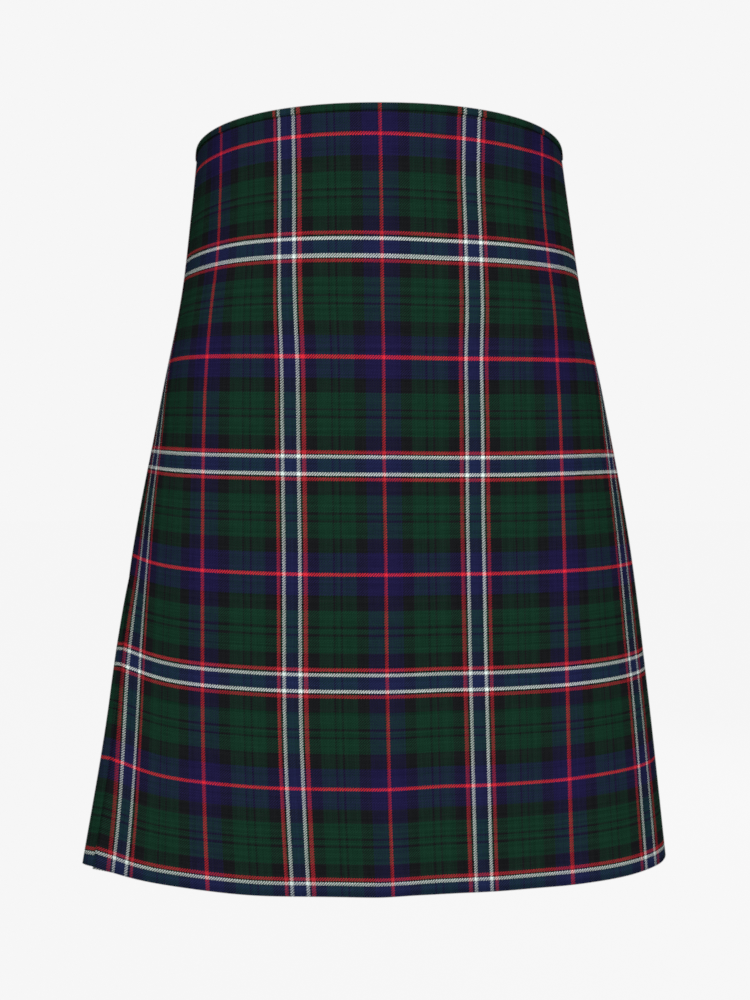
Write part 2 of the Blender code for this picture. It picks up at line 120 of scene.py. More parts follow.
class Wave(NamedTuple):
    """A small even waver."""

    size: float
    pace: float
    start: float


def waver(x: float, waves: Sequence[Wave]) -> float:
    """Add some waves up at a place."""
    return sum(wave.size * math.sin(wave.pace * x + wave.start) for wave in waves)


# ------------------------------------------------------------------ the form
class Level(NamedTuple):
    """One level section: its depth, and its front and back halves."""

    depth: float
    half_width: float
    front_depth: float
    front_power: float
    back_depth: float
    back_power: float
    side_shift: float


class ApronSide(NamedTuple):
    """Arcs of the over apron's sides and of the last pleat, and how far the right stands."""

    depth: float
    left_fold: float
    right_edge: float
    flare: float
    last_pleat: float


class HemTrim(NamedTuple):
    """How much lower than its cut the aprons' hem hangs at an arc."""

    arc: float
    extra: float


LEVELS = (
    Level(0, 160.8, 132.7, 2.16, 91, 2.20, 0.0),
    Level(60, 167.2, 129.1, 2.19, 105, 2.25, 1.0),
    Level(130, 173.9, 123.0, 2.50, 129, 2.35, 1.9),
    Level(220, 189.9, 117.0, 2.84, 150, 2.40, 2.6),
    Level(330, 210.6, 110.9, 2.55, 162, 2.35, 2.8),
    Level(460, 227.0, 94.9, 2.46, 184, 2.30, 0.5),
    Level(610, 244.8, 73.3, 2.39, 217, 2.25, -5.0),
)
APRON_SIDES = (
    ApronSide(0, 219, 219, 0.0, 235),
    ApronSide(130, 221, 221, 0.0, 237),
    ApronSide(220, 228, 227, 0.0, 243),
    ApronSide(330, 245, 232, 2.5, 249),
    ApronSide(400, 253, 222, 7.0, 251),
    ApronSide(460, 258, 217, 9.3, 253),
    ApronSide(610, 268, 228, 8.8, 257),
)
HEM_TRIMS = (
    HemTrim(-240, 1.0), HemTrim(-190, 0.0), HemTrim(-110, 0.0), HemTrim(0, 0.5),
    HemTrim(36, -1.5), HemTrim(75, -3.0), HemTrim(110, -2.5), HemTrim(150, -1.5),
    HemTrim(190, -0.5), HemTrim(215, 1.0), HemTrim(245, 3.0),
)


@dataclass
class KiltForm:
    """The surface that all the cloth lies on."""

    cloth_length: float = 609.9
    front_plane: float = -112.0
    section_points: int = 480
    normal_reach: float = 3.0
    hang_steps: int = 24
    flare_reach: float = 34.0
    under_apron_shows: float = 14.0
    outlines: dict = field(default_factory=dict)
    hems: dict = field(default_factory=dict)

    def __post_init__(self) -> None:
        """Make the curves of the tables."""
        self.half_width = column(LEVELS, "half_width")
        self.front_depth = column(LEVELS, "front_depth")
        self.front_power = column(LEVELS, "front_power")
        self.back_depth = column(LEVELS, "back_depth")
        self.back_power = column(LEVELS, "back_power")
        self.side_shift = column(LEVELS, "side_shift")
        self.left_fold = column(APRON_SIDES, "left_fold")
        self.right_edge = column(APRON_SIDES, "right_edge")
        self.flare = column(APRON_SIDES, "flare")
        self.last_pleat = column(APRON_SIDES, "last_pleat")
        self.hem_trim = column(HEM_TRIMS, "extra")

    def outline(self, depth: float) -> tuple:
        """Lay out one level section.

        Args:
            depth: how far below the waist it is.

        Returns:
            Its x and y values, their arcs, and its length round.
        """
        key = round(depth, 3)
        if key not in self.outlines:
            turn = np.linspace(0.0, 2 * math.pi, self.section_points + 1)
            side, ahead = np.sin(turn), np.cos(turn)
            power = np.where(ahead > 0, self.front_power(depth), self.back_power(depth))
            reach = np.where(ahead > 0, self.front_depth(depth), self.back_depth(depth))
            x = (self.half_width(depth) * np.sign(side) * np.abs(side) ** (2 / power)
                 + self.side_shift(depth))
            widest = self.front_plane + self.front_depth(depth)
            y = widest - reach * np.sign(ahead) * np.abs(ahead) ** (2 / power)
            arcs = np.concatenate([[0.0], np.cumsum(np.hypot(np.diff(x), np.diff(y)))])
            self.outlines[key] = (x, y, arcs, arcs[-1])
        return self.outlines[key]

    def girth(self, depth: float) -> float:
        """Length round the form at a depth."""
        return self.outline(depth)[3]

    def place(self, arc: float, depth: float, out: float) -> Vector:
        """Find a point of the form.

        Args:
            arc: the arc round the section, in mm.
            depth: the depth below the waist, in mm.
            out: the distance outside the form, in mm.

        Returns:
            The point, in metres.
        """
        x, y, arcs, around = self.outline(depth)
        reach = self.normal_reach
        (x_before, x_here, x_after), (y_before, y_here, y_after) = (
            [np.interp((arc + step) % around, arcs, values) for step in (-reach, 0.0, reach)]
            for values in (x, y))
        run_x, run_y = x_after - x_before, y_after - y_before
        length = math.hypot(run_x, run_y)
        return Vector((x_here + out * run_y / length,
                       y_here - out * run_x / length, -depth)) * MM

    def under_fold(self, depth: float) -> float:
        """Arc of the under apron's fold, on the wearer's right."""
        return self.right_edge(depth) + self.under_apron_shows

    def thread_arc(self, hem_arc: float, depth: float) -> float:
        """Follow an upright thread.

        Args:
            hem_arc: the arc at which it reaches the hem.
            depth: where to find it.

        Returns:
            Its arc there: straight down in the aprons, in step in the pleats.
        """
        length = self.cloth_length
        left, right = self.left_fold(length), self.right_edge(length)
        hem_arc %= self.girth(length)
        if hem_arc <= left:
            return hem_arc
        behind = self.girth(length) - right
        if hem_arc >= behind:
            return hem_arc - self.girth(length)
        share = (hem_arc - left) / (behind - left)
        return left + share * (self.girth(depth) - right - left)

    def hem_depth(self, hem_arc: float) -> float:
        """Find where the cloth's length along a thread is used up.

        Args:
            hem_arc: the arc at which the thread reaches the hem.

        Returns:
            The depth of the hem there.
        """
        key = round(hem_arc, 2)
        if key not in self.hems:
            step = self.cloth_length / self.hang_steps
            length, depth = 0.0, 0.0
            last = self.place(self.thread_arc(hem_arc, 0.0), 0.0, 0.0)
            while True:
                here = self.place(self.thread_arc(hem_arc, depth + step), depth + step, 0.0)
                run = (here - last).length / MM
                if length + run >= self.cloth_length:
                    break
                length, depth, last = length + run, depth + step, here
            self.hems[key] = depth + step * (self.cloth_length - length) / run
        return self.hems[key]

    def lift(self, arc: float, depth: float) -> float:
        """How far the aprons stand out near the wearer's right side."""
        reach = (-arc - self.under_fold(depth) + self.flare_reach) / self.flare_reach
        return self.flare(depth) * ease(reach)


# ------------------------------------------------------------------ how the check lies
class WarpLines(NamedTuple):
    """Arcs, at a depth, of the check's upright middle lines across the aprons."""

    depth: float
    right_3: float
    right_2: float
    right_1: float
    middle: float
    left_1: float
    left_2: float
    left_3: float


class WeftLine(NamedTuple):
    """How far down the cloth one level line of the check lies, at each of WEFT_ARCS."""

    thread: float
    right_edge: float
    right_side: float
    right_front: float
    middle: float
    left_front: float
    left_hip: float
    left_side: float
    left_fold: float


WARP_LINES = (
    WarpLines(0, -214, -141, -74.5, 0, 73, 148, 213),
    WarpLines(60, -213, -139.5, -74.5, 0, 71, 142, 212),
    WarpLines(105, -211.5, -138, -74.5, 0, 71.5, 141, 211),
    WarpLines(150, -209.5, -141, -74, 0, 71.5, 142.5, 210),
    WarpLines(200, -206, -142.5, -72, 0.5, 70, 141, 207),
    WarpLines(250, -202, -143.5, -71.5, 0.5, 70.5, 142, 204),
    WarpLines(330, -207, -144, -70.5, 1.5, 71, 144, 209),
    WarpLines(410, -206.5, -142, -69, 3.5, 73.5, 146, 214),
    WarpLines(480, -204, -139, -66.5, 6.5, 77, 149, 220),
    WarpLines(545, -203, -134.5, -61.5, 10.5, 81, 152.5, 225),
    WarpLines(610, -205, -128.5, -55.5, 15.5, 85.5, 157, 230),
)
WEFT_ARCS = (-225, -170, -105, 0, 60, 130, 185, 235)
WEFT_LINES = (
    WeftLine(0.0, 24.5, 24, 23, 23.5, 24.5, 24, 19.5, 13.5),
    WeftLine(83.5, 109, 111.5, 110, 111, 112.5, 112, 110, 109.5),
    WeftLine(167.0, 193, 193, 194, 195.5, 196.5, 196.5, 195.5, 194.5),
    WeftLine(250.5, 275, 277.5, 278, 279, 279.5, 279.5, 279.5, 279.5),
    WeftLine(334.0, 357.5, 361.5, 362, 362.5, 362, 362, 362.5, 362.5),
    WeftLine(417.5, 440.5, 445, 445.5, 446, 444.5, 444.5, 444.5, 444.5),
    WeftLine(501.0, 522, 526.5, 527, 527.5, 524.5, 524.5, 523.5, 524.5),
    WeftLine(577.7, 596.5, 599, 599.5, 600, 596.5, 596, 595.5, 596),
)


class CheckLay:
    """Where the threads of the check lie on the form."""

    def __init__(self) -> None:
        """Make the curves of the lines."""
        names = WarpLines._fields[1:]
        middle = names.index("middle")
        self.warp = [column(WARP_LINES, name) for name in names]
        self.weft = [Curve(WEFT_ARCS, line[1:]) for line in WEFT_LINES]
        self.turns = [(k - middle) * WARP_HALF for k in range(len(names))]
        self.drops = [line.thread for line in WEFT_LINES]

    @staticmethod
    def between(x: float, xs: Sequence[float], ys: Sequence[float]) -> float:
        """Read a straight-line table that goes on at 1 to 1 past its ends.

        Args:
            x: where to read it.
            xs: its places, in rising order.
            ys: its values.

        Returns:
            The value there.
        """
        if x <= xs[0]:
            return ys[0] + x - xs[0]
        if x >= xs[-1]:
            return ys[-1] + x - xs[-1]
        return float(np.interp(x, xs, ys))

    def across(self, arc: float, depth: float) -> float:
        """Find the warp thread at a place.

        Args:
            arc: the arc round the form.
            depth: the depth below the waist.

        Returns:
            The thread's distance from the middle red line, in mm of cloth.
        """
        return self.between(arc, [line(depth) for line in self.warp], self.turns)

    def down(self, arc: float, drop: float) -> float:
        """Find the weft thread at a place.

        Args:
            arc: the arc round the form.
            drop: the distance from the waist along the cloth.

        Returns:
            The thread's distance from the uppermost red line, in mm of cloth.
        """
        return self.between(drop, [line(arc) for line in self.weft], self.drops)


# ------------------------------------------------------------------ shader sums
class Flow:
    """A number in a material; arithmetic on it adds Math nodes."""

    def __init__(self, sheet: "ShaderSheet", socket: bpy.types.NodeSocket) -> None:
        """Wrap an output socket of a sheet."""
        self.sheet = sheet
        self.socket = socket

    def math(self, operation: str, *terms: Union["Flow", Number]) -> "Flow":
        """Add a Math node.

        Args:
            operation: the node's operation.
            terms: its inputs, in order.

        Returns:
            Its result.
        """
        node = self.sheet.node("ShaderNodeMath", {"operation": operation},
                               dict(enumerate(terms)))
        return Flow(self.sheet, node.outputs[0])

    def __add__(self, other: Union["Flow", Number]) -> "Flow":
        """Add."""
        return self.math("ADD", self, other)

    def __sub__(self, other: Union["Flow", Number]) -> "Flow":
        """Subtract."""
        return self.math("SUBTRACT", self, other)

    def __mul__(self, other: Union["Flow", Number]) -> "Flow":
        """Multiply."""
        return self.math("MULTIPLY", self, other)

    def __truediv__(self, other: Union["Flow", Number]) -> "Flow":
        """Divide."""
        return self.math("DIVIDE", self, other)

    def __lt__(self, other: Union["Flow", Number]) -> "Flow":
        """Give 1 where this is the smaller."""
        return self.math("LESS_THAN", self, other)

    __radd__ = __add__
    __rmul__ = __mul__

    def floor(self) -> "Flow":
        """Round down."""
        return self.math("FLOOR", self)

    def fraction(self) -> "Flow":
        """Keep what is past the whole number."""
        return self.math("FRACT", self)

    def wrap(self, length: Number) -> "Flow":
        """Start again at every length."""
        return self.math("FLOORED_MODULO", self, length)

    def mirror(self, length: Number) -> "Flow":
        """Run to a length and back."""
        return self.math("PINGPONG", self, length)

    def sine(self) -> "Flow":
        """Take the sine."""
        return self.math("SINE", self)

    def power(self, exponent: Number) -> "Flow":
        """Raise to a power."""
        return self.math("POWER", self, exponent)

    def mix(self, low: Union["Flow", Number], high: Union["Flow", Number]) -> "Flow":
        """Go from low to high as this goes from 0 to 1."""
        return low + self * (high - low)


Term = Union[Flow, bpy.types.NodeSocket, Number, Sequence[float]]


class ShaderSheet:
    """One material being made."""

    def __init__(self, name: str) -> None:
        """Start a material with its Principled shader alone."""
        self.material = bpy.data.materials.new(name)
        self.material.use_nodes = True
        self.tree = self.material.node_tree
        self.surface = self.tree.nodes["Principled BSDF"]

    def node(self, kind: str, settings: Optional[dict] = None,
             inputs: Optional[dict] = None) -> bpy.types.Node:
        """Add a node.

        Args:
            kind: the node's type.
            settings: its own settings; "stops" are a ramp's (place, colour) pairs.
            inputs: the values or links of its sockets, by name or place.

        Returns:
            The node.
        """
        made = self.tree.nodes.new(kind)
        for name, value in (settings or {}).items():
            if name == "stops":
                self.set_stops(made.color_ramp, value)
            else:
                setattr(made, name, value)
        for name, value in (inputs or {}).items():
            self.feed(made.inputs[name], value)
        return made

    def feed(self, socket: bpy.types.NodeSocket, value: Term) -> None:
        """Give a socket a value or a link.

        Args:
            socket: the input socket.
            value: what it takes.
        """
        if isinstance(value, Flow):
            value = value.socket
        if isinstance(value, bpy.types.NodeSocket):
            self.tree.links.new(value, socket)
        else:
            socket.default_value = value

    @staticmethod
    def set_stops(ramp: bpy.types.ColorRamp, stops: Sequence[tuple]) -> None:
        """Lay out a ramp in steps.

        Args:
            ramp: the ramp.
            stops: its (place, colour) pairs, in rising order.
        """
        ramp.interpolation = "CONSTANT"
        ramp.elements[0].position = stops[0][0]
        ramp.elements[0].color = (*stops[0][1], 1.0)
        ramp.elements[1].position = 1.0
        ramp.elements[1].color = (*stops[-1][1], 1.0)
        for position, color in stops[1:]:
            ramp.elements.new(position).color = (*color, 1.0)

    def flow(self, node: bpy.types.Node, name: Union[int, str] = 0) -> Flow:
        """Wrap one of a node's outputs."""
        return Flow(self, node.outputs[name])

    def mixed(self, share: Term, first: Term, second: Term) -> bpy.types.NodeSocket:
        """Mix two colours.

        Args:
            share: how much of the second.
            first: the first colour.
            second: the second colour.

        Returns:
            The mixed colour.
        """
        made = self.node("ShaderNodeMix", {"data_type": "RGBA"},
                         {0: share, 6: first, 7: second})
        return made.outputs[2]

    def scaled(self, color: Term, share: Flow) -> bpy.types.NodeSocket:
        """Make a colour lighter or darker."""
        made = self.node("ShaderNodeVectorMath", {"operation": "SCALE"},
                         {0: color, "Scale": share})
        return made.outputs[0]

    def with_painted_bounce(self, color: Term, first: Term, second: Term) -> bpy.types.NodeSocket:
        """Brighten a colour with painted bounce light where two yarns that cross there are both
        light.

        Args:
            color: the colour.
            first: the one yarn's colour.
            second: the other yarn's colour.

        Returns:
            The colour, with painted light that the yarns would pass to each other.
        """
        painted_bounce_light = self.node("ShaderNodeVectorMath", {"operation": "MULTIPLY"},
                           {0: first, 1: second}).outputs[0]
        made = self.node("ShaderNodeVectorMath", {"operation": "MULTIPLY_ADD"},
                         {0: color, 1: painted_bounce_light, 2: color})
        return made.outputs[0]

    def noise(self, place: Term, scale: float, detail: float = 2.0,
              roughness: float = 0.5, dimensions: str = "3D") -> Flow:
        """Read a noise texture.

        Args:
            place: where it is read.
            scale: how fine it is.
            detail: how many layers it has.
            roughness: how strong the finer layers are.
            dimensions: whether the place is a vector or a number.

        Returns:
            The noise, from 0 to 1.
        """
        where = "W" if dimensions == "1D" else "Vector"
        made = self.node("ShaderNodeTexNoise", {"noise_dimensions": dimensions},
                         {where: place, "Scale": scale, "Detail": detail,
                          "Roughness": roughness})
        return self.flow(made, 0)

    def bump(self, height: Flow) -> bpy.types.NodeSocket:
        """Turn a height in metres into a normal."""
        return self.node("ShaderNodeBump", None,
                         {"Height": height, "Distance": 1.0, "Strength": 1.0}).outputs[0]

    def finish(self, **sockets: Term) -> bpy.types.Material:
        """Feed the surface.

        Args:
            sockets: values or links, by the socket's name with _ for a space.

        Returns:
            The material.
        """
        for name, value in sockets.items():
            self.feed(self.surface.inputs[name.replace("_", " ")], value)
        return self.material


# ------------------------------------------------------------------ finishes
class Yarn(Enum):
    """Colours of the dyed yarns. The thinner reds cover less, so they look darker."""

    GREEN = (0.0082, 0.0379, 0.0208)
    NAVY = (0.0153, 0.0122, 0.0590)
    BLUE = (0.0150, 0.0225, 0.0740)
    BLACK = (0.0107, 0.0114, 0.0129)
    RED = (0.7000, 0.0255, 0.0550)
    WARP_RED = (0.5550, 0.0232, 0.0445)
    FINE_RED = (0.4400, 0.0240, 0.0370)
    WHITE = (0.6150, 0.6750, 0.6500)


class Stripe(NamedTuple):
    """A run of one yarn, up to a distance from the red middle line."""

    until: float
    yarn: Yarn


WARP_STRIPES = (
    Stripe(1.28, Yarn.WARP_RED), Stripe(13.2, Yarn.NAVY), Stripe(22.2, Yarn.BLACK),
    Stripe(33.1, Yarn.GREEN), Stripe(34.2, Yarn.BLACK), Stripe(38.7, Yarn.GREEN),
    Stripe(39.9, Yarn.BLACK), Stripe(50.7, Yarn.GREEN), Stripe(59.4, Yarn.BLACK),
    Stripe(62.3, Yarn.FINE_RED), Stripe(63.8, Yarn.BLACK), Stripe(66.5, Yarn.WHITE),
    Stripe(WARP_HALF, Yarn.BLUE),
)
WEFT_STRIPES = (
    Stripe(1.28, Yarn.RED), Stripe(16.3, Yarn.NAVY), Stripe(27.4, Yarn.BLACK),
    Stripe(39.5, Yarn.GREEN), Stripe(41.3, Yarn.BLACK), Stripe(45.6, Yarn.GREEN),
    Stripe(47.4, Yarn.BLACK), Stripe(60.4, Yarn.GREEN), Stripe(71.6, Yarn.BLACK),
    Stripe(74.1, Yarn.FINE_RED), Stripe(75.6, Yarn.BLACK), Stripe(78.1, Yarn.WHITE),
    Stripe(WEFT_HALF, Yarn.BLUE),
)


@dataclass(frozen=True)
class CheckedWool:
    """Worsted twill woven in a check, by its threads' places in mm.

    The two thread numbers are read as whole threads, so that a thread has one colour
    across its width. Each thread has a shade of its own and thick and thin places
    along it, and the weft packs a little closer than the warp.
    """

    name: str = "checked_wool"
    thread: float = 0.51
    warp_cover: float = 0.84
    weft_cover: float = 1.16
    own_shade: float = 0.40
    slub_shade: float = 1.10
    band_shade: float = 0.70
    slub_spread: float = 5.3
    slub_pace: float = 0.055
    # Painted shade between the threads: the colour's share in the hollows, and how much lighter
    # the crowns are.
    painted_hollow_shade: float = 0.62
    painted_crown_light: float = 0.40
    fuzz_shade: float = 0.30
    roughness: tuple = (0.82, 0.98)
    yarn_height: float = 0.00007
    fuzz_height: float = 0.00004
    cockle: float = 0.00022

    def yarn_colors(self, sheet: ShaderSheet, place: Flow, along: Flow, half: float,
                    stripes: Sequence[Stripe], cover: float) -> bpy.types.NodeSocket:
        """Dye the threads of one direction.

        Args:
            sheet: the material.
            place: the thread's distance from a middle line.
            along: the distance along the thread.
            half: half of the check's repeat.
            stripes: the runs of yarn.
            cover: how much of the cloth these threads show.

        Returns:
            The yarn's colour.
        """
        starts = [0.0] + [stripe.until / half for stripe in stripes[:-1]]
        stops = [(start, stripe.yarn.value) for start, stripe in zip(starts, stripes)]
        number = (place / self.thread + 0.5).floor()
        middle = number * self.thread
        ramp = sheet.node("ShaderNodeValToRGB", {"stops": stops},
                          {0: middle.mirror(half) / half})
        own = sheet.flow(sheet.node("ShaderNodeTexWhiteNoise", {"noise_dimensions": "1D"},
                                    {"W": number}), "Value")
        lane = sheet.node("ShaderNodeCombineXYZ", None,
                          {0: number * self.slub_spread, 1: along * self.slub_pace})
        slubs = sheet.noise(lane.outputs[0], 1.0, 3.0, 0.6)
        bands = sheet.noise(place, 0.30, 2.0, 0.5, "1D")
        even = 1 - (self.own_shade + self.slub_shade + self.band_shade) / 2
        shade = cover * (even + self.own_shade * own + self.slub_shade * slubs
                         + self.band_shade * bands)
        return sheet.scaled(ramp.outputs[0], shade)

    def make(self) -> bpy.types.Material:
        """Make the material.

        Returns:
            The material, which reads the piece's own map of threads.
        """
        sheet = ShaderSheet(self.name)
        threads = sheet.node("ShaderNodeUVMap", {"uv_map": "threads"})
        parts = sheet.node("ShaderNodeSeparateXYZ", None, {0: threads.outputs[0]})
        across, down = sheet.flow(parts, 0), sheet.flow(parts, 1)
        warp = self.yarn_colors(sheet, across, down, WARP_HALF, WARP_STRIPES,
                                self.warp_cover)
        weft = self.yarn_colors(sheet, down, across, WEFT_HALF, WEFT_STRIPES,
                                self.weft_cover)
        u, v = across / self.thread + 0.5, down / self.thread + 0.5
        over = (u.floor() + v.floor()).wrap(4) < 2
        # Painted light: where a light warp crosses a light weft, the colour is brightened as if
        # the two lit each other.
        color = sheet.with_painted_bounce(sheet.mixed(over, weft, warp), warp, weft)
        round_u = (u.fraction() * math.pi).sine()
        round_v = (v.fraction() * math.pi).sine()
        crown = over.mix(round_v, round_u).power(0.6)
        fuzz = sheet.noise(threads.outputs[0], 3.1, 2.0, 0.7)
        # Painted shade: the colour is darker in the hollows between the threads and lighter on
        # their crowns, on top of the bump that the crowns give.
        color = sheet.scaled(color, self.painted_hollow_shade + self.painted_crown_light * crown
                             + self.fuzz_shade * (fuzz - 0.5))
        soft = sheet.noise(threads.outputs[0], 0.045, 2.0, 0.5)
        height = crown * self.yarn_height + fuzz * self.fuzz_height + soft * self.cockle
        return sheet.finish(
            Base_Color=color, Roughness=fuzz.mix(*self.roughness),
            Normal=sheet.bump(height), Sheen_Weight=0.004, Sheen_Roughness=0.45,
            Specular_IOR_Level=0.0)


@dataclass(frozen=True)
class Leather:
    """Black bridle leather with a fine grain."""

    name: str = "black_leather"
    color: tuple = (0.016, 0.0145, 0.0135)
    worn: tuple = (0.050, 0.044, 0.040)
    most_worn: float = 0.55
    roughness: tuple = (0.36, 0.62)
    grain_height: float = 0.00006
    fine_height: float = 0.00002
    rub_height: float = 0.00012

    def make(self) -> bpy.types.Material:
        """Make the material.

        Returns:
            The material, which reads the place on the piece.
        """
        sheet = ShaderSheet(self.name)
        place = sheet.node("ShaderNodeTexCoord").outputs["Object"]
        pores = sheet.node("ShaderNodeTexVoronoi", {"feature": "DISTANCE_TO_EDGE"},
                           {"Vector": place, "Scale": 1500.0})
        grain = sheet.flow(pores, 0)
        rub = sheet.noise(place, 120.0, 4.0, 0.6)
        fine = sheet.noise(place, 2600.0, 2.0, 0.6)
        color = sheet.mixed(rub.power(2.0) * self.most_worn, (*self.color, 1),
                            (*self.worn, 1))
        height = (grain * self.grain_height + fine * self.fine_height
                  + rub * self.rub_height)
        return sheet.finish(Base_Color=color, Roughness=rub.mix(*self.roughness),
                            Normal=sheet.bump(height), Specular_IOR_Level=0.5)


@dataclass(frozen=True)
class Nickel:
    """Nickel plate, rubbed by use."""

    name: str = "nickel"
    color: tuple = (0.66, 0.64, 0.60)
    dull: tuple = (0.42, 0.40, 0.37)
    roughness: tuple = (0.14, 0.36)
    scratch_height: float = 0.000012

    def make(self) -> bpy.types.Material:
        """Make the material.

        Returns:
            The material, which reads the place on the piece.
        """
        sheet = ShaderSheet(self.name)
        place = sheet.node("ShaderNodeTexCoord").outputs["Object"]
        smudge = sheet.noise(place, 180.0, 3.0, 0.6)
        scratch = sheet.noise(place, 1800.0, 2.0, 0.7)
        color = sheet.mixed(smudge.power(2.0), (*self.color, 1), (*self.dull, 1))
        return sheet.finish(Base_Color=color, Metallic=1.0,
                            Roughness=smudge.mix(*self.roughness),
                            Normal=sheet.bump(scratch * self.scratch_height))


@dataclass(frozen=True)
class WaxedThread:
    """Black waxed sewing thread."""

    name: str = "waxed_thread"
    color: tuple = (0.022, 0.021, 0.020)
    worn: tuple = (0.075, 0.070, 0.065)
    ply_height: float = 0.00006

    def make(self) -> bpy.types.Material:
        """Make the material.

        Returns:
            The material, which reads the place on the piece.
        """
        sheet = ShaderSheet(self.name)
        place = sheet.node("ShaderNodeTexCoord").outputs["Object"]
        ply = sheet.noise(place, 3000.0, 2.0, 0.6)
        color = sheet.mixed(ply, (*self.color, 1), (*self.worn, 1))
        return sheet.finish(Base_Color=color, Roughness=0.6,
                            Normal=sheet.bump(ply * self.ply_height))


# ------------------------------------------------------------------ cloth
class Lay(NamedTuple):
    """Where one column of a cloth lies at a depth."""

    arc: float
    out: float
    across: float


class Trough(NamedTuple):
    """A soft upright hollow in hanging cloth, or a ridge where it sinks below 0."""

    arc_top: float
    arc_hem: float
    starts: float
    half_width: float
    sinks: float


APRON_TROUGHS = (
    Trough(-118, -150, 250, 34, 1.5),
    Trough(-70, -92, 330, 26, -1.0),
    Trough(-20, -34, 300, 30, 1.1),
    Trough(58, 74, 240, 36, -1.3),
    Trough(104, 128, 280, 28, 1.6),
    Trough(166, 196, 330, 24, -1.2),
)


@dataclass
class ClothSheet:
    """One length of cloth, hung on the form column by column.

    A pleated one has folds, so there the thread number can jump from one column to the
    next; the map then runs on by the cloth's own width. The weft of an apron may slip
    up past an arc.
    """

    name: str
    form: KiltForm
    check: CheckLay
    columns: int
    rows: int
    lay: Callable[[int, float], Lay]
    hem_arc: Callable[[int], float]
    on_apron: bool = True
    slip: float = 0.0
    slips_past: float = -213.0
    top: float = 1.6
    jump: float = 9.0

    def hang(self, index: int) -> list:
        """Hang one column.

        Args:
            index: which column.

        Returns:
            Its points from the waist down, each with its two thread numbers.
        """
        hem_arc = self.hem_arc(index)
        hem = self.form.hem_depth(hem_arc)
        if self.on_apron:
            hem += self.form.hem_trim(hem_arc)
        points, last, drop = [], None, self.top
        for row in range(self.rows):
            depth = self.top + (hem - self.top) * row / (self.rows - 1)
            lay = self.lay(index, depth)
            point = self.form.place(lay.arc, depth, lay.out)
            if last is not None:
                run = (point - last[0]).length / MM
                aside = lay.arc - last[1] if self.on_apron else 0.0
                drop += math.sqrt(max(run ** 2 - aside ** 2, 0.0))
            last = (point, lay.arc)
            where = lay.arc if self.on_apron else 0.0
            slipped = self.slip * max(self.slips_past - lay.arc, 0.0)
            points.append((point, lay.across, self.check.down(where, drop - slipped)))
        return points

    def build(self, material: bpy.types.Material) -> bpy.types.Object:
        """Make the cloth.

        Args:
            material: its finish.

        Returns:
            The piece, a thin closed shell with its map of threads.
        """
        bm = bmesh.new()
        bmesh.ops.create_grid(bm, x_segments=self.columns - 1, y_segments=self.rows - 1,
                              size=1.0)
        bm.verts.ensure_lookup_table()
        hung = [self.hang(index) for index in range(self.columns)]
        for index, points in enumerate(hung):
            for row, (point, _, _) in enumerate(points):
                bm.verts[row * self.columns + index].co = point
        layer = bm.loops.layers.uv.new("threads")
        for face in bm.faces:
            first = min(vert.index % self.columns for vert in face.verts)
            for loop in face.loops:
                row, index = divmod(loop.vert.index, self.columns)
                point, across, down = hung[index][row]
                beside, start, _ = hung[first][row]
                if abs(across - start) > self.jump:
                    across = start + (point - beside).length / MM
                loop[layer].uv = (across, down)
        piece = finished(self.name, bm, [material])
        thicken(piece, "cloth", CLOTH_THICKNESS)
        return piece


def thicken(piece: bpy.types.Object, name: str, thickness: float) -> None:
    """Give a sheet its wall.

    Args:
        piece: the sheet, which lies in the middle of its wall.
        name: the modifier's name.
        thickness: the wall, in mm.
    """
    wall = piece.modifiers.new(name, "SOLIDIFY")
    wall.thickness = thickness * MM
    wall.offset = 0.0


def finished(name: str, bm: bmesh.types.BMesh,
             materials: Iterable[bpy.types.Material]) -> bpy.types.Object:
    """Turn a bmesh in metres into an object at the origin.

    Args:
        name: the piece's name.
        bm: its shape, which is freed.
        materials: its finishes, in order.

    Returns:
        The object, shaded smooth over its gentle edges.
    """
    mesh = bpy.data.meshes.new(name)
    bm.to_mesh(mesh)
    bm.free()
    for material in materials:
        mesh.materials.append(material)
    mesh.shade_smooth()
    mesh.set_sharp_from_angle(angle=SHARP_ANGLE)
    piece = bpy.data.objects.new(name, mesh)
    bpy.context.scene.collection.objects.link(piece)
    return piece


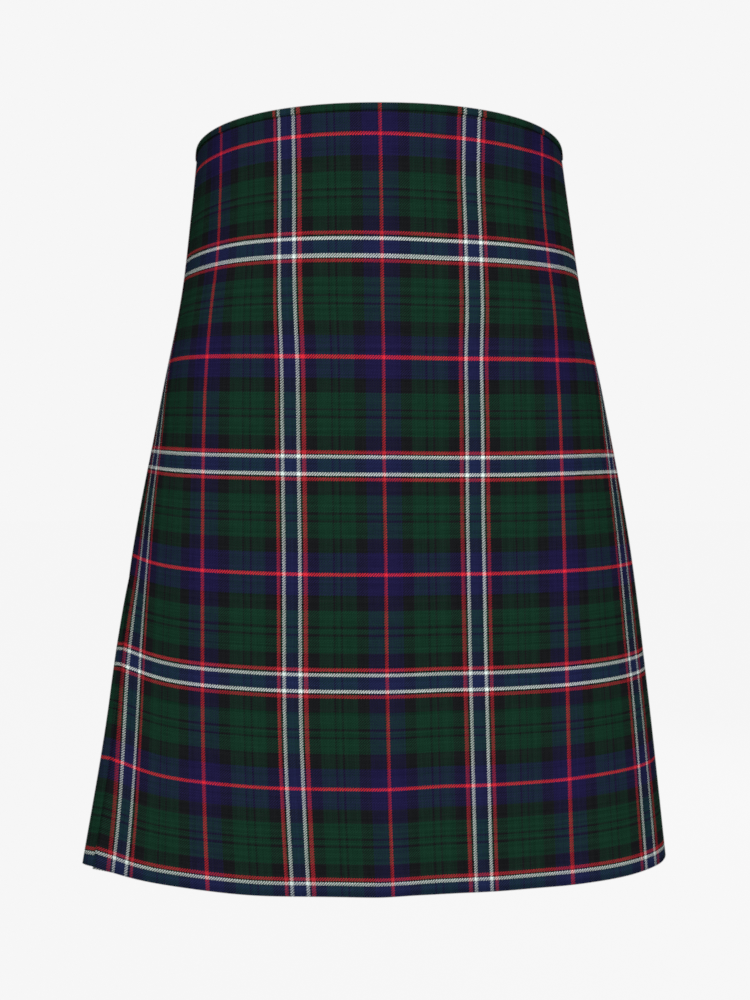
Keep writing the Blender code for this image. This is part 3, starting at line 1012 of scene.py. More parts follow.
@dataclass
class Aprons:
    """The over apron, the under apron and the soft hollows that they hang in."""

    form: KiltForm
    check: CheckLay
    wool: bpy.types.Material
    under_lap: float = 4.0
    under_drape: float = 0.5
    under_slip: float = 0.21
    spans: int = 124
    rows: int = 88
    fold_turns: tuple = (45.0, 90.0, 135.0)
    returns: int = 3

    def drape(self, arc: float, depth: float) -> float:
        """Find how far the soft hollows move the cloth outwards.

        Args:
            arc: the arc round the form.
            depth: the depth below the waist.

        Returns:
            The distance, in mm; it is below 0 in a hollow.
        """
        total = 0.0
        for trough in APRON_TROUGHS:
            share = depth / self.form.cloth_length
            middle = trough.arc_top + (trough.arc_hem - trough.arc_top) * share
            grown = ease((depth - trough.starts) / (self.form.cloth_length - trough.starts))
            away = (arc - middle) / trough.half_width
            total -= trough.sinks * grown * math.exp(-away * away)
        return total

    def column(self, index: int, depth: float, start: float, end: float, level: float,
               drape: float) -> Lay:
        """Lay one column of an apron that ends in a fold and a strip turned inside.

        Args:
            index: which column, from the start.
            depth: the depth below the waist.
            start: the arc at which the cloth starts.
            end: the arc of its fold.
            level: the distance outside the form of the cloth's middle.
            drape: how much of the soft hollows it follows.

        Returns:
            The column's place.
        """
        way = 1.0 if end > start else -1.0
        radius = FOLD_STEP / 2
        if index <= self.spans:
            arc, inside, past = start + (end - start) * index / self.spans, 0.0, 0.0
        elif index <= self.spans + len(self.fold_turns):
            turn = math.radians(self.fold_turns[index - self.spans - 1])
            arc = end + way * radius * math.sin(turn)
            inside, past = radius * (1 - math.cos(turn)), radius * turn
        else:
            step = index - self.spans - len(self.fold_turns)
            back = TURNED_INSIDE * step / self.returns
            arc, inside, past = end - way * back, FOLD_STEP, radius * math.pi + back
        out = level - inside + self.form.lift(arc, depth) + drape * self.drape(arc, depth)
        if past:
            across = self.check.across(end, depth) + way * past
        else:
            across = self.check.across(arc, depth)
        return Lay(arc, out, across)

    def over(self, index: int, depth: float) -> Lay:
        """Lay a column of the over apron, from its free right edge to its left fold."""
        return self.column(index, depth, -self.form.right_edge(depth),
                           self.form.left_fold(depth), -CLOTH_THICKNESS / 2, 1.0)

    def under(self, index: int, depth: float) -> Lay:
        """Lay a column of the under apron, from its hidden left end to its right fold."""
        lap = Pleats.tuck_share * Pleats.spacing(self.form, depth) + self.under_lap
        return self.column(index, depth, self.form.left_fold(depth) - lap,
                           -self.form.under_fold(depth),
                           UNDER_LEVEL - CLOTH_THICKNESS / 2, self.under_drape)

    def build(self) -> list:
        """Make both aprons.

        Returns:
            The over apron and the under apron.
        """
        columns = self.spans + len(self.fold_turns) + self.returns + 1
        length = self.form.cloth_length
        pieces = []
        for name, lay, slip in (("over_apron_cloth", self.over, 0.0),
                                ("under_apron_cloth", self.under, self.under_slip)):
            sheet = ClothSheet(name, self.form, self.check, columns, self.rows, lay,
                               lambda index, lay=lay: lay(index, length).arc, slip=slip)
            pieces.append(sheet.build(self.wool))
        return pieces


class PleatDepth(NamedTuple):
    """A pleat's depth, how unevenly its edge hangs, and how its face bellies out."""

    depth: float
    rise: float
    stray: float
    belly: float


PLEAT_DEPTHS = (
    PleatDepth(0, 5.1, 0.0, 0.0),
    PleatDepth(210, 5.1, 0.0, 0.1),
    PleatDepth(330, 6.2, 0.8, 0.6),
    PleatDepth(460, 7.6, 1.8, 1.0),
    PleatDepth(610, 9.0, 2.6, 1.3),
)


@dataclass
class Pleats:
    """Knife pleats round the back.

    Each one comes out from under the last, reaches its edge at the wearer's right, turns
    back inside, and turns again into the next. The columns of a pleat lie at shares of
    its face, round its edge, at shares of its way back, and round its root.
    """

    form: KiltForm
    check: CheckLay
    wool: bpy.types.Material
    count: ClassVar[int] = 26
    tuck_share: ClassVar[float] = 0.62
    hidden_share: float = 0.4
    edge_corner: float = 0.25
    last_tuck: float = 46.0
    last_spans: int = 4
    last_ease: float = 0.2
    rows: int = 60
    fell_depth: float = 200.0
    face: tuple = (0.04, 0.13, 0.25, 0.36, 0.45, 0.56, 0.68, 0.80, 0.90, 0.965)
    turns: tuple = (0.0, 60.0, 120.0, 180.0)
    back: tuple = (0.35, 0.7)
    along_waves: tuple = (Wave(0.6, 2.4, 0.0), Wave(0.4, 5.1, 1.0))
    outward_share: float = 0.4
    outward_waves: tuple = (Wave(1.0, 1.7, 0.5),)

    def __post_init__(self) -> None:
        """Make the curves of the table."""
        self.rise = column(PLEAT_DEPTHS, "rise")
        self.stray = column(PLEAT_DEPTHS, "stray")
        self.belly = column(PLEAT_DEPTHS, "belly")
        self.per_pleat = len(self.face) + 2 * len(self.turns) + len(self.back)

    @classmethod
    def spacing(cls, form: KiltForm, depth: float) -> float:
        """Width of cloth that one pleat shows at a depth."""
        end = form.girth(depth) - form.last_pleat(depth)
        return (end - form.left_fold(depth)) / cls.count

    def wander(self, pleat: int, depth: float) -> tuple:
        """How far a pleat's edge hangs from its place.

        Args:
            pleat: which pleat, from 1.
            depth: the depth below the waist.

        Returns:
            The distances along the arc and outwards.
        """
        amount = self.stray(depth)
        if pleat == self.count:
            return 0.0, 0.0
        along = waver(pleat, self.along_waves)
        outward = self.outward_share * (1 + waver(pleat, self.outward_waves))
        return amount * along, amount * outward

    def lay(self, index: int, depth: float) -> Lay:
        """Lay one column of the pleated cloth.

        Args:
            index: which column, from the wearer's left.
            depth: the depth below the waist.

        Returns:
            The column's place.
        """
        step = self.spacing(self.form, depth)
        tuck = self.tuck_share * step
        rise = self.rise(depth)
        edge_out = UNDER_LEVEL - CLOTH_THICKNESS / 2 - self.edge_corner
        inner_out = edge_out - rise
        first = self.form.left_fold(depth)
        pleat, part = divmod(index, self.per_pleat)
        if pleat >= self.count:
            share = (index - self.count * self.per_pleat) / self.last_spans
            start = first + self.count * step - tuck
            end = first + self.count * step + self.last_tuck
            arc = start + (end - start) * share
            return Lay(arc, inner_out + self.last_ease * share * self.last_spans,
                       self.edge_thread(self.count + 1) + arc - end)
        pleat += 1
        along, outward = self.wander(pleat, depth)
        edge = first + pleat * step
        root = edge - step - tuck
        layer = rise * step / (step + tuck) / 2
        radius = layer / 2
        thread = self.edge_thread(pleat)
        faces, turns = len(self.face), len(self.turns)

        def on_face(share: float) -> Lay:
            """Lay a point of the pleat's outer layer, at a share from root to edge."""
            shown = (share - self.hidden_share) / (1 - self.hidden_share)
            near = ease(shown)
            arc = root + (edge - root) * share + along * near
            belly = self.belly(depth) * math.sin(math.pi * min(max(shown, 0.0), 1.0))
            return Lay(arc, inner_out + rise * share + outward * near + belly,
                       thread - (edge + along - arc))

        if part < faces:
            return on_face(self.face[part])
        if part < faces + turns:
            turn = math.radians(self.turns[part - faces])
            arc = edge + along - radius + radius * math.sin(turn)
            return Lay(arc, edge_out + outward - radius * (1 - math.cos(turn)),
                       thread - radius + radius * turn)
        past = thread + radius * (math.pi - 1)
        if part < faces + turns + len(self.back):
            share = self.back[part - faces - turns]
            arc = edge + (along - radius) * (1 - share) - (tuck - radius) * share
            level = on_face((arc - root) / (edge - root)).out - layer
            return Lay(arc, level, past + edge + along - arc)
        turn = math.radians(self.turns[part - faces - turns - len(self.back)])
        arc = edge - tuck + radius - radius * math.sin(turn)
        return Lay(arc, inner_out + radius * (1 + math.cos(turn)),
                   past + tuck - radius + radius * turn)

    def edge_thread(self, pleat: int) -> float:
        form, depth = self.form, self.fell_depth
        start = self.check.across(form.left_fold(depth), depth)
        return start + pleat * self.spacing(form, depth)

    def build(self) -> bpy.types.Object:
        """Make the pleated cloth.

        Returns:
            The piece.
        """
        columns = self.count * self.per_pleat + self.last_spans + 1
        length = self.form.cloth_length
        sheet = ClothSheet("pleated_back_cloth", self.form, self.check, columns, self.rows,
                           self.lay, lambda index: self.lay(index, length).arc,
                           on_apron=False)
        return sheet.build(self.wool)


# ------------------------------------------------------------------ waist binding
@dataclass
class Binding:
    """One stretch of the strip that is folded over the waist's edge.

    It runs from one arc to another, over cloth whose faces lie at the outer and the
    inner level, and it turns down inside by a depth, or stops on the edge where that
    depth is 0. Each bend is a run of (distance out, depth) steps from a corner.
    """

    name: str
    form: KiltForm
    check: CheckLay
    start: float
    end: float
    outer: float
    inner: float
    inside: float
    thickness: float = 1.0
    drop: float = 6.0
    span: float = 3.0
    edge_thread: float = 57.0
    outer_face: tuple = ((0.0, 1.0), (0.08, 0.7), (0.1, 0.45))
    outer_bend: tuple = ((0.05, 1.1), (-0.1, 0.45), (-0.45, 0.08), (-1.0, 0.0))
    inner_bend: tuple = ((1.0, 0.0), (0.45, 0.08), (0.1, 0.45), (0.0, 1.4))
    stitch_waves: tuple = (Wave(0.12, 0.83, 0.0), Wave(0.10, 0.31, 1.0))

    def profile(self) -> list:
        """Middle of the strip's section, from its lower outer edge over the top.

        Returns:
            (distance outside the form, depth) pairs.
        """
        half = self.thickness / 2
        out = self.outer + SEAM_GAP + half
        points = [(out + aside, self.drop * share) for aside, share in self.outer_face]
        points += [(out + aside, half + down) for aside, down in self.outer_bend]
        if self.inside:
            back = self.inner - SEAM_GAP - half
            points += [(back + aside, half + down) for aside, down in self.inner_bend]
            points += [(back, self.inside / 2), (back, self.inside)]
        else:
            points.append((self.inner + half, half))
        return points

    def build(self, material: bpy.types.Material) -> bpy.types.Object:
        """Make the stretch.

        Args:
            material: its finish.

        Returns:
            The piece.
        """
        profile = self.profile()
        spans = round((self.end - self.start) / self.span)
        bm = bmesh.new()
        bmesh.ops.create_grid(bm, x_segments=spans, y_segments=len(profile) - 1, size=1.0)
        bm.verts.ensure_lookup_table()
        layer = bm.loops.layers.uv.new("threads")
        maps = {}
        for index in range(spans + 1):
            arc = self.start + (self.end - self.start) * index / spans
            pull = waver(arc, self.stitch_waves)
            length = 0.0
            for row, (out, depth) in enumerate(profile):
                if row:
                    length += math.dist(profile[row], profile[row - 1])
                sag = pull if row == 0 else 0.0
                number = row * (spans + 1) + index
                bm.verts[number].co = self.form.place(arc, depth + sag, out)
                maps[number] = (self.check.across(arc, 0.0), self.edge_thread - length)
        for face in bm.faces:
            for loop in face.loops:
                loop[layer].uv = maps[loop.vert.index]
        piece = finished(self.name, bm, [material])
        thicken(piece, "cloth", self.thickness)
        return piece


def waist_bindings(form: KiltForm, check: CheckLay) -> tuple:
    """Lay out the three stretches of the binding.

    Args:
        form: the form.
        check: where the check lies on it.

    Returns:
        The stretches over the over apron, the under apron and the pleated back.
    """
    left, right, fold = form.left_fold(0.0), form.right_edge(0.0), form.under_fold(0.0)
    half = CLOTH_THICKNESS / 2
    edge_room, fold_room, pleat_room, turned_down = 0.2, 2.0, 0.5, 20.0
    pleats_thick = CLOTH_THICKNESS + PLEAT_DEPTHS[0].rise + pleat_room
    return (
        Binding("waist_binding_over", form, check, start=edge_room - right,
                end=left - fold_room, outer=0.0, inner=-CLOTH_THICKNESS, inside=0.0),
        Binding("waist_binding_under", form, check, start=-fold - half,
                end=left - TURNED_INSIDE - CLOTH_THICKNESS, outer=UNDER_LEVEL,
                inner=UNDER_LEVEL - CLOTH_THICKNESS - FOLD_STEP, inside=turned_down),
        Binding("waist_binding_back", form, check, start=left + half + SEAM_GAP,
                end=form.girth(0.0) - fold - half - SEAM_GAP, outer=UNDER_LEVEL,
                inner=UNDER_LEVEL - pleats_thick, inside=turned_down),
    )


# ------------------------------------------------------------------ straps and buckles
class Side(Enum):
    """The side of the wearer that a fastening is on."""

    LEFT = 1
    RIGHT = -1


@dataclass(frozen=True)
class StrapCut:
    """A strap: its leather, its point, and how it climbs over its buckle, in mm."""

    width: float = 28.0
    thick: float = 2.0
    gap: float = 0.5
    spans: tuple = (56, 8)
    point: float = 12.0
    tip_share: float = 0.35
    fold_room: float = 1.6
    climb_start: float = 2.6
    climb_short: float = 4.0
    sink_start: float = 1.6
    sink_length: float = 7.0


@dataclass(frozen=True)
class ChapeCut:
    """The leather that goes round a buckle's heel bar and back on itself, in mm."""

    thick: float = 1.3
    length: float = 46.0
    tall: float = 23.0
    bend: float = 8.0
    flat_steps: int = 9
    bend_steps: int = 10
    spans: int = 6


@dataclass(frozen=True)
class KeeperCut:
    """The loop round a strap and its chape, in mm."""

    thick: float = 1.2
    room: float = 0.2
    back: float = 24.0
    width: float = 8.0
    points: int = 40
    square_up: float = 0.12
    square_out: float = 0.35


@dataclass(frozen=True)
class BuckleWire:
    """A buckle's frame and prong, in mm."""

    long: float = 19.4
    tall: float = 32.6
    radius: float = 1.3
    corner: float = 4.0
    corner_steps: int = 6
    sides: int = 14
    prong_radius: float = 1.0
    prong_past: float = 1.2
    prong_taper: float = 0.25
    prong_steps: int = 18
    prong_sides: int = 12


@dataclass(frozen=True)
class Sewing:
    """A strap's two spare holes and its two rows of stitches, in mm."""

    hole_step: float = 25.0
    hole_radius: float = 2.3
    hole_squash: float = 0.8
    hole_sunk: float = 0.05
    hole_sides: int = 14
    rim_width: float = 0.35
    rim_rise: float = 0.22
    floor_drop: float = 0.28
    row_up: float = 10.8
    step: float = 4.2
    length: float = 3.1
    radius: float = 0.30
    bend: float = 0.22
    squash: float = 0.8
    sunk: float = 0.12
    sides: int = 6
    tip_clear: float = 18.0
    keeper_clear: float = 8.0
    buckle_clear: float = 6.0
    edge_clear: float = 2.0

    def hole(self, bm: bmesh.types.BMesh, back: float, level: float) -> None:
        """Add a punched hole: a pressed rim round a dark floor.

        Args:
            bm: where it goes.
            back: how far back it is.
            level: the level of the leather's face.
        """
        made = bmesh.ops.create_circle(bm, cap_ends=True, segments=self.hole_sides,
                                       radius=self.hole_radius)
        face = next(iter(made["verts"][0].link_faces))
        for vert in made["verts"]:
            vert.co = (back + vert.co.x, vert.co.y * self.hole_squash,
                       level - self.hole_sunk)
        for depth in (self.rim_rise, -self.floor_drop):
            bmesh.ops.inset_region(bm, faces=[face], thickness=self.rim_width, depth=depth)
        face.material_index = 1

    def stitch(self, bm: bmesh.types.BMesh, back: float, up: float, level: float) -> None:
        """Add one stitch, a short round bar half sunk in the leather.

        Args:
            bm: where it goes.
            back: how far back it is.
            up: how far above the strap's middle it is.
            level: the level of the leather's face.
        """
        made = bmesh.ops.create_cone(bm, cap_ends=True, segments=self.sides,
                                     radius1=self.radius, radius2=self.radius,
                                     depth=self.length)
        for vert in made["verts"]:
            x, y, z = vert.co
            bend = self.bend * (1 - (2 * z / self.length) ** 2)
            vert.co = (back + z, up + x, level + y * self.squash - self.sunk + bend)


def flat_slab(columns: int, rows: int,
              at: Callable[[float, float], tuple]) -> bmesh.types.BMesh:
    """Lay a grid out flat.

    Args:
        columns: spans along it.
        rows: spans across it.
        at: the (back, up, out) of a share along and a share across.

    Returns:
        The grid.
    """
    bm = bmesh.new()
    bmesh.ops.create_grid(bm, x_segments=columns, y_segments=rows, size=1.0)
    bm.verts.ensure_lookup_table()
    for number, vert in enumerate(bm.verts):
        row, index = divmod(number, columns + 1)
        vert.co = at(index / columns, row / rows)
    return bm


def wire_tube(path: Sequence[tuple], closed: bool, sides: int) -> bmesh.types.BMesh:
    """Run a round wire along a path.

    Args:
        path: its middle points and radii, as (point, radius) pairs.
        closed: whether it joins up with itself.
        sides: how many sides it has.

    Returns:
        The wire.
    """
    bm = bmesh.new()
    rings = []
    last = len(path) - 1
    for i, (point, radius) in enumerate(path):
        if closed:
            before, after = path[i - 1][0], path[(i + 1) % len(path)][0]
        else:
            before, after = path[max(i - 1, 0)][0], path[min(i + 1, last)][0]
        ahead = (Vector(after) - Vector(before)).normalized()
        made = bmesh.ops.create_circle(bm, segments=sides, radius=radius)
        turn = Vector((0, 0, 1)).rotation_difference(ahead).to_matrix().to_4x4()
        bmesh.ops.transform(bm, matrix=turn, verts=made["verts"])
        bmesh.ops.translate(bm, verts=made["verts"], vec=point)
        rings.append({edge for vert in made["verts"] for edge in vert.link_edges})
    pairs = list(zip(rings, rings[1:])) + ([(rings[-1], rings[0])] if closed else [])
    for first, second in pairs:
        bmesh.ops.bridge_loops(bm, edges=list(first | second))
    if not closed:
        bmesh.ops.holes_fill(bm, edges=bm.edges[:], sides=sides)
    return bm


@dataclass
class Fastening:
    """A strap that comes out under the over apron's edge, with its buckle on a chape.

    Its pieces are modelled flat, as (back, up, out) from the apron's edge, and then
    carried onto the form. The strap lies flat, climbs over the buckle's near bar and the
    chape, and sinks to the chape's own level behind them.
    """

    name: str
    form: KiltForm
    side: Side
    height: float
    root: float
    buckle: float
    tail: float
    under_fold: bool
    strap_cut: StrapCut = StrapCut()
    chape_cut: ChapeCut = ChapeCut()
    keeper_cut: KeeperCut = KeeperCut()
    buckle_wire: BuckleWire = BuckleWire()
    sewing: Sewing = Sewing()
    leather_round: float = 0.35

    def __post_init__(self) -> None:
        """Work out the levels of the layers and the places of the buckle's bars."""
        strap, chape, keeper = self.strap_cut, self.chape_cut, self.keeper_cut
        wire = self.buckle_wire
        self.flat_level = UNDER_LEVEL + strap.gap
        self.bar_level = self.flat_level + strap.thick + SEAM_GAP + wire.radius
        self.chape_low = self.flat_level + chape.thick / 2
        self.chape_high = (self.chape_low + chape.thick + keeper.thick + 2 * SEAM_GAP
                           + keeper.room)
        self.heel_bar = self.buckle + wire.long / 2
        self.near_bar = self.buckle - wire.long / 2

    def carry(self, bm: bmesh.types.BMesh) -> None:
        """Move a flat shape onto the form."""
        on_left = self.side is Side.LEFT
        edge = self.form.left_fold if on_left else self.form.right_edge
        start = edge(self.height)
        for vert in bm.verts:
            back, up, out = vert.co
            vert.co = self.form.place(self.side.value * (start + back), self.height - up, out)

    def seat(self, back: float) -> float:
        """Find the level of the strap's underside.

        Args:
            back: the distance back from the apron's edge.

        Returns:
            The level there.
        """
        strap, chape, wire = self.strap_cut, self.chape_cut, self.buckle_wire
        flat = self.flat_level
        if self.under_fold:
            first_pleat = Pleats.spacing(self.form, self.height)
            flat -= strap.fold_room * (1 - ease(back / first_pleat))
        over_bar = self.bar_level + wire.radius + chape.thick + 2 * SEAM_GAP
        on_chape = self.chape_high + chape.thick / 2 + SEAM_GAP
        past = back - self.near_bar
        up = ease((past - strap.climb_start) / (wire.long - strap.climb_short))
        down = ease((past - wire.long - strap.sink_start) / strap.sink_length)
        return flat + (over_bar - flat) * up - (over_bar - on_chape) * down

    def leather_piece(self, name: str, bm: bmesh.types.BMesh, thick: float,
                      leather: bpy.types.Material) -> bpy.types.Object:
        """Carry a slab onto the form and give it its thickness and round edges.

        Args:
            name: the piece's name.
            bm: the flat slab.
            thick: the leather's thickness, in mm.
            leather: its finish.

        Returns:
            The piece.
        """
        self.carry(bm)
        piece = finished(name + "_" + self.name, bm, [leather])
        thicken(piece, "leather", thick)
        edge = piece.modifiers.new("edge", "BEVEL")
        edge.width = self.leather_round * MM
        edge.segments = 2
        edge.limit_method = "ANGLE"
        edge.angle_limit = BEVEL_ANGLE
        return piece

    def solid_piece(self, name: str, bm: bmesh.types.BMesh,
                    *materials: bpy.types.Material) -> bpy.types.Object:
        """Carry closed shapes onto the form.

        Args:
            name: the piece's name.
            bm: the flat shapes.
            materials: their finishes, in order.

        Returns:
            The piece.
        """
        self.carry(bm)
        bmesh.ops.recalc_face_normals(bm, faces=bm.faces)
        return finished(name + "_" + self.name, bm, materials)

    def strap(self, leather: bpy.types.Material) -> bpy.types.Object:
        """Make the strap, pointed at its end.

        Args:
            leather: its finish.

        Returns:
            The piece.
        """
        cut = self.strap_cut
        span = self.tail - self.root

        def at(along: float, over: float) -> tuple:
            """Place a point of the strap."""
            back = self.root + span * along
            left = math.sqrt(min(1.0, (self.tail - back) / cut.point))
            taper = cut.tip_share + (1 - cut.tip_share) * left
            return back, (over - 0.5) * cut.width * taper, self.seat(back) + cut.thick / 2

        return self.leather_piece("strap_leather", flat_slab(*cut.spans, at), cut.thick,
                                  leather)

    def stitch_places(self) -> list:
        """Space the stitches along the strap, from its tip to its root.

        Returns:
            How far back they are, in mm: behind the keeper, then before the buckle.
        """
        sewing = self.sewing
        runs = ((self.tail - sewing.tip_clear,
                 self.heel_bar + self.keeper_cut.back + sewing.keeper_clear),
                (self.near_bar - sewing.buckle_clear, sewing.edge_clear))
        places = []
        for back, stop in runs:
            while back > stop:
                places.append(back)
                back -= sewing.step
        return places

    def trim(self, thread: bpy.types.Material,
             leather: bpy.types.Material) -> bpy.types.Object:
        """Make the strap's holes and stitches.

        Args:
            thread: the finish of the rims and stitches.
            leather: the finish of the holes' floors.

        Returns:
            The piece.
        """
        bm = bmesh.new()
        sewing, top = self.sewing, self.strap_cut.thick
        for step in (-sewing.hole_step, sewing.hole_step):
            sewing.hole(bm, self.buckle + step, self.seat(self.buckle + step) + top)
        for back in self.stitch_places():
            for up in (-sewing.row_up, sewing.row_up):
                sewing.stitch(bm, back, up, self.seat(back) + top)
        return self.solid_piece("strap_trim", bm, thread, leather)

    def chape(self, leather: bpy.types.Material) -> bpy.types.Object:
        """Make the chape: along the pleats, round the heel bar and back on itself.

        Args:
            leather: its finish.

        Returns:
            The piece.
        """
        cut = self.chape_cut
        wrap = self.buckle_wire.radius + SEAM_GAP + cut.thick / 2
        start, run = self.heel_bar + cut.bend, cut.length - cut.bend
        flat = [start + run * part / cut.flat_steps for part in range(cut.flat_steps + 1)]
        path = [(back, self.chape_low) for back in reversed(flat)]
        for part in range(cut.bend_steps + 1):
            turn = math.pi * part / cut.bend_steps
            path.append((self.heel_bar - wrap * math.sin(turn),
                         self.bar_level - wrap * math.cos(turn)))
        path += [(back, self.chape_high) for back in flat[:-1]]
        last = len(path) - 1

        def at(along: float, over: float) -> tuple:
            """Place a point of the chape."""
            back, out = path[round(along * last)]
            return back, (over - 0.5) * cut.tall, out

        return self.leather_piece("chape_leather", flat_slab(last, cut.spans, at), cut.thick,
                                  leather)

    def keeper(self, leather: bpy.types.Material) -> bpy.types.Object:
        """Make the keeper, a leather loop round the strap and the chape's upper layer.

        Args:
            leather: its finish.

        Returns:
            The piece.
        """
        cut, half = self.keeper_cut, self.chape_cut.thick / 2
        start = self.heel_bar + cut.back - cut.width / 2
        low = self.chape_high - half - SEAM_GAP - cut.thick / 2
        high = self.chape_high + half + 2 * SEAM_GAP + self.strap_cut.thick + cut.thick / 2
        tall = self.strap_cut.width / 2 + SEAM_GAP + cut.thick / 2
        bm = bmesh.new()
        made = bmesh.ops.create_circle(bm, segments=cut.points, radius=1.0)
        for vert in made["verts"]:
            turn = math.atan2(vert.co.y, vert.co.x)
            up = math.copysign(abs(math.cos(turn)) ** cut.square_up, math.cos(turn))
            out = math.copysign(abs(math.sin(turn)) ** cut.square_out, math.sin(turn))
            vert.co = (start, up * tall, (low + high) / 2 + out * (high - low) / 2)
        grown = bmesh.ops.extrude_edge_only(bm, edges=bm.edges[:])
        moved = [item for item in grown["geom"] if isinstance(item, bmesh.types.BMVert)]
        bmesh.ops.translate(bm, verts=moved, vec=(cut.width, 0, 0))
        return self.leather_piece("keeper_leather", bm, cut.thick, leather)

    def frame_wire(self, nickel: bpy.types.Material) -> bpy.types.Object:
        """Make the buckle's frame, a rectangle of wire with round corners.

        Args:
            nickel: its finish.

        Returns:
            The piece.
        """
        wire = self.buckle_wire
        long, tall = wire.long / 2 - wire.corner, wire.tall / 2 - wire.corner
        path = []
        for quarter in range(4):
            center_back = self.buckle + (long if quarter in (0, 3) else -long)
            center_up = tall if quarter in (0, 1) else -tall
            for part in range(wire.corner_steps + 1):
                turn = math.pi / 2 * (quarter + part / wire.corner_steps)
                path.append(((center_back + wire.corner * math.cos(turn),
                              center_up + wire.corner * math.sin(turn),
                              self.bar_level), wire.radius))
        return self.solid_piece("buckle_frame", wire_tube(path, True, wire.sides), nickel)

    def tongue(self, nickel: bpy.types.Material) -> bpy.types.Object:
        """Make the prong: from the heel bar up through the strap, onto the near bar.

        Args:
            nickel: its finish.

        Returns:
            The piece.
        """
        wire = self.buckle_wire
        heel = self.heel_bar - wire.radius - self.chape_cut.thick - 2 * SEAM_GAP
        tip = self.near_bar - wire.prong_past
        rise = wire.radius + SEAM_GAP + wire.prong_radius
        path = []
        for part in range(wire.prong_steps + 1):
            t = part / wire.prong_steps
            # The tip is rounded off over its last sixth, and the heel less so.
            end = max(min(1.0, (1 - t) * 6.0, t * 12 + 0.5), 0.05)
            radius = wire.prong_radius * (1.0 - wire.prong_taper * t) * math.sqrt(end)
            path.append(((heel + (tip - heel) * t, 0.0, self.bar_level + rise * ease(t)),
                         radius))
        return self.solid_piece("buckle_prong", wire_tube(path, False, wire.prong_sides),
                                nickel)


# ------------------------------------------------------------------ studio
class SoftLight(NamedTuple):
    """A square soft light: where it hangs, its sides in metres and its power in watts."""

    name: str
    place: tuple
    side: float
    power: float


SOFT_LIGHTS = (
    SoftLight("front_soft", (0.1, -2.6, -0.15), 1.5, 57.0),
    SoftLight("back_soft", (1.6, 2.1, 0.4), 1.2, 46.0),
)


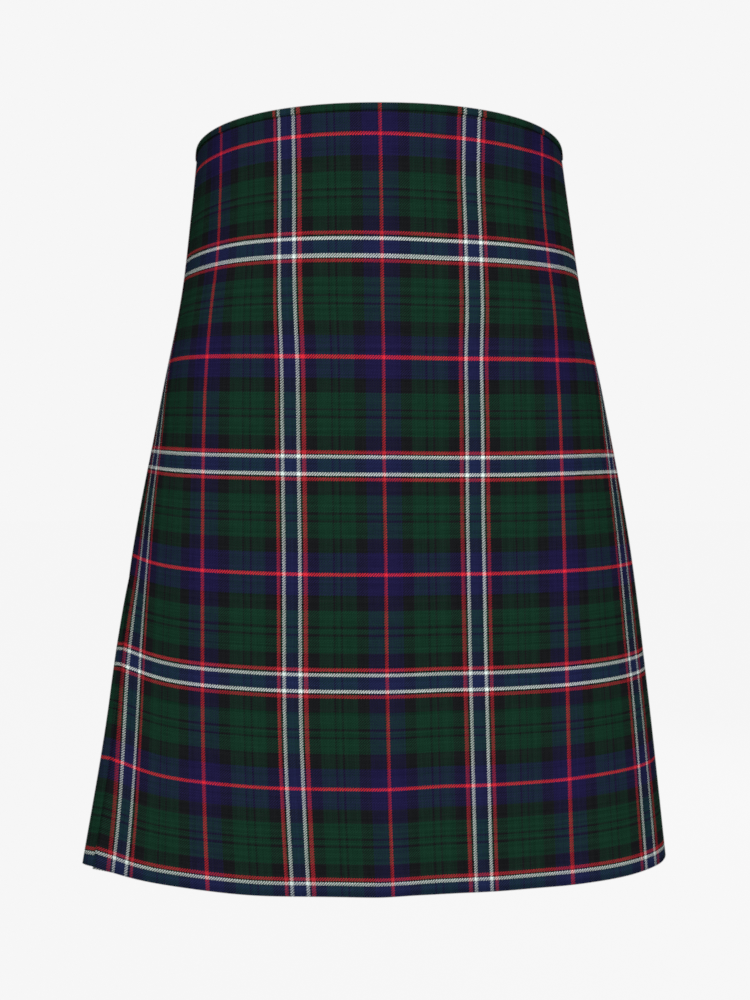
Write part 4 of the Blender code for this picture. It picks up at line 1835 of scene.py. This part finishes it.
@dataclass
class Studio:
    """The pale room, its soft light and the camera."""

    camera_at: tuple = (-0.00357, -0.8792, -0.30505)
    lights_aim: tuple = (0.0, 0.0, -0.35)
    lens: float = 36.007
    sensor: float = 36.0
    floor_drop: float = 1.12
    floor_radius: float = 40.0
    pale: float = 0.9216
    fill: float = 0.22
    floor_color: float = 0.02
    floor_light: float = 0.30
    pixel_filter: float = 1.8

    def camera(self) -> None:
        """Set up the level camera in front."""
        data = bpy.data.cameras.new("camera")
        data.lens = self.lens
        data.sensor_width = self.sensor
        data.sensor_fit = "AUTO"
        data.clip_start, data.clip_end = 0.01, 100.0
        made = bpy.data.objects.new("camera", data)
        made.location = self.camera_at
        made.rotation_euler = (math.pi / 2, 0.0, 0.0)
        bpy.context.scene.collection.objects.link(made)
        bpy.context.scene.camera = made

    def light(self, lamp: SoftLight) -> None:
        """Add one soft light, aimed at the kilt."""
        data = bpy.data.lights.new(lamp.name, "AREA")
        data.shape = "RECTANGLE"
        data.size = data.size_y = lamp.side
        data.energy = lamp.power
        made = bpy.data.objects.new(lamp.name, data)
        made.location = lamp.place
        ahead = Vector(self.lights_aim) - Vector(lamp.place)
        made.rotation_euler = ahead.to_track_quat("-Z", "Y").to_euler()
        bpy.context.scene.collection.objects.link(made)

    def floor(self) -> None:
        """Make the plain pale floor, which runs as far as the eye can see."""
        sheet = ShaderSheet("pale_floor")
        color = (self.floor_color,) * 3 + (1.0,)
        glow = self.pale - self.floor_color * (self.fill + self.floor_light)
        material = sheet.finish(Base_Color=color, Roughness=1.0, Specular_IOR_Level=0.0,
                                Emission_Color=(1.0, 1.0, 1.0, 1.0), Emission_Strength=glow)
        bm = bmesh.new()
        bmesh.ops.create_circle(bm, cap_ends=True, segments=96, radius=self.floor_radius)
        bmesh.ops.translate(bm, vec=(0, 0, -self.floor_drop), verts=bm.verts)
        made = finished("floor", bm, [material])
        made.visible_diffuse = made.visible_glossy = False

    def world(self) -> None:
        """Show pale walls all round, and fill the room with a softer light than theirs."""
        world = bpy.data.worlds.new("studio")
        world.use_nodes = True
        tree = world.node_tree
        walls = tree.nodes["Background"]
        walls.inputs[0].default_value = (1.0, 1.0, 1.0, 1.0)
        walls.inputs[1].default_value = self.pale
        dim = tree.nodes.new("ShaderNodeBackground")
        dim.inputs[0].default_value = (1.0, 1.0, 1.0, 1.0)
        dim.inputs[1].default_value = self.fill
        seen = tree.nodes.new("ShaderNodeLightPath")
        mix = tree.nodes.new("ShaderNodeMixShader")
        tree.links.new(seen.outputs["Is Camera Ray"], mix.inputs[0])
        tree.links.new(dim.outputs[0], mix.inputs[1])
        tree.links.new(walls.outputs[0], mix.inputs[2])
        tree.links.new(mix.outputs[0], tree.nodes["World Output"].inputs[0])
        bpy.context.scene.world = world

    def build(self) -> None:
        """Set up everything."""
        self.camera()
        self.floor()
        self.world()
        for lamp in SOFT_LIGHTS:
            self.light(lamp)
        scene = bpy.context.scene
        scene.view_settings.view_transform = "Standard"
        scene.cycles.use_denoising = False
        scene.cycles.filter_width = self.pixel_filter


# ------------------------------------------------------------------ the whole kilt
def join(piece: bpy.types.Object, slot: str, *nodes: str) -> None:
    """Join a piece to the frame and log it.

    Args:
        piece: the piece.
        slot: the record's material slot; not used.
        nodes: the solids that it stands for.
    """
    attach(piece, "root")
    if nodes:
        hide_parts(*nodes)
    LOG.info("%s: %d points, stands for %s", piece.name, len(piece.data.vertices),
             ", ".join(nodes) or "nothing")


def main() -> None:
    """Build the studio and the kilt in order."""
    logging.basicConfig(level=logging.INFO, format="%(message)s")
    Studio().build()
    form, check = KiltForm(), CheckLay()
    wool = CheckedWool().make()
    over, under = Aprons(form, check, wool).build()
    join(over, "tartan_wool", "over_apron")
    join(under, "tartan_wool", "under_apron")
    back = Pleats(form, check, wool).build()
    join(back, "tartan_wool", "pleated_back")

    bindings = [stretch.build(wool) for stretch in waist_bindings(form, check)]
    for piece, node in zip(bindings, ("binding_over", "binding_under", "binding_back")):
        join(piece, "tartan_binding", node)

    leather, nickel = Leather().make(), Nickel().make()
    thread = WaxedThread().make()
    fastenings = (
        Fastening("left_waist", form, Side.LEFT, height=32.0, root=-10.0, buckle=54.0,
                  tail=104.0, under_fold=True),
        Fastening("right_waist", form, Side.RIGHT, height=32.0, root=-24.0, buckle=52.0,
                  tail=102.0, under_fold=False),
        Fastening("right_hip", form, Side.RIGHT, height=165.0, root=-24.0, buckle=50.0,
                  tail=100.0, under_fold=False),
    )
    for item in fastenings:
        join(item.strap(leather), "leather", "strap_" + item.name)
        join(item.chape(leather), "leather", "chape_" + item.name)
        join(item.keeper(leather), "leather", "keeper_" + item.name)
        join(item.frame_wire(nickel), "buckle_metal", "buckle_" + item.name)
        join(item.tongue(nickel), "buckle_metal", "prong_" + item.name)
        join(item.trim(thread, leather), "leather")


if __name__ == "__main__":
    main()
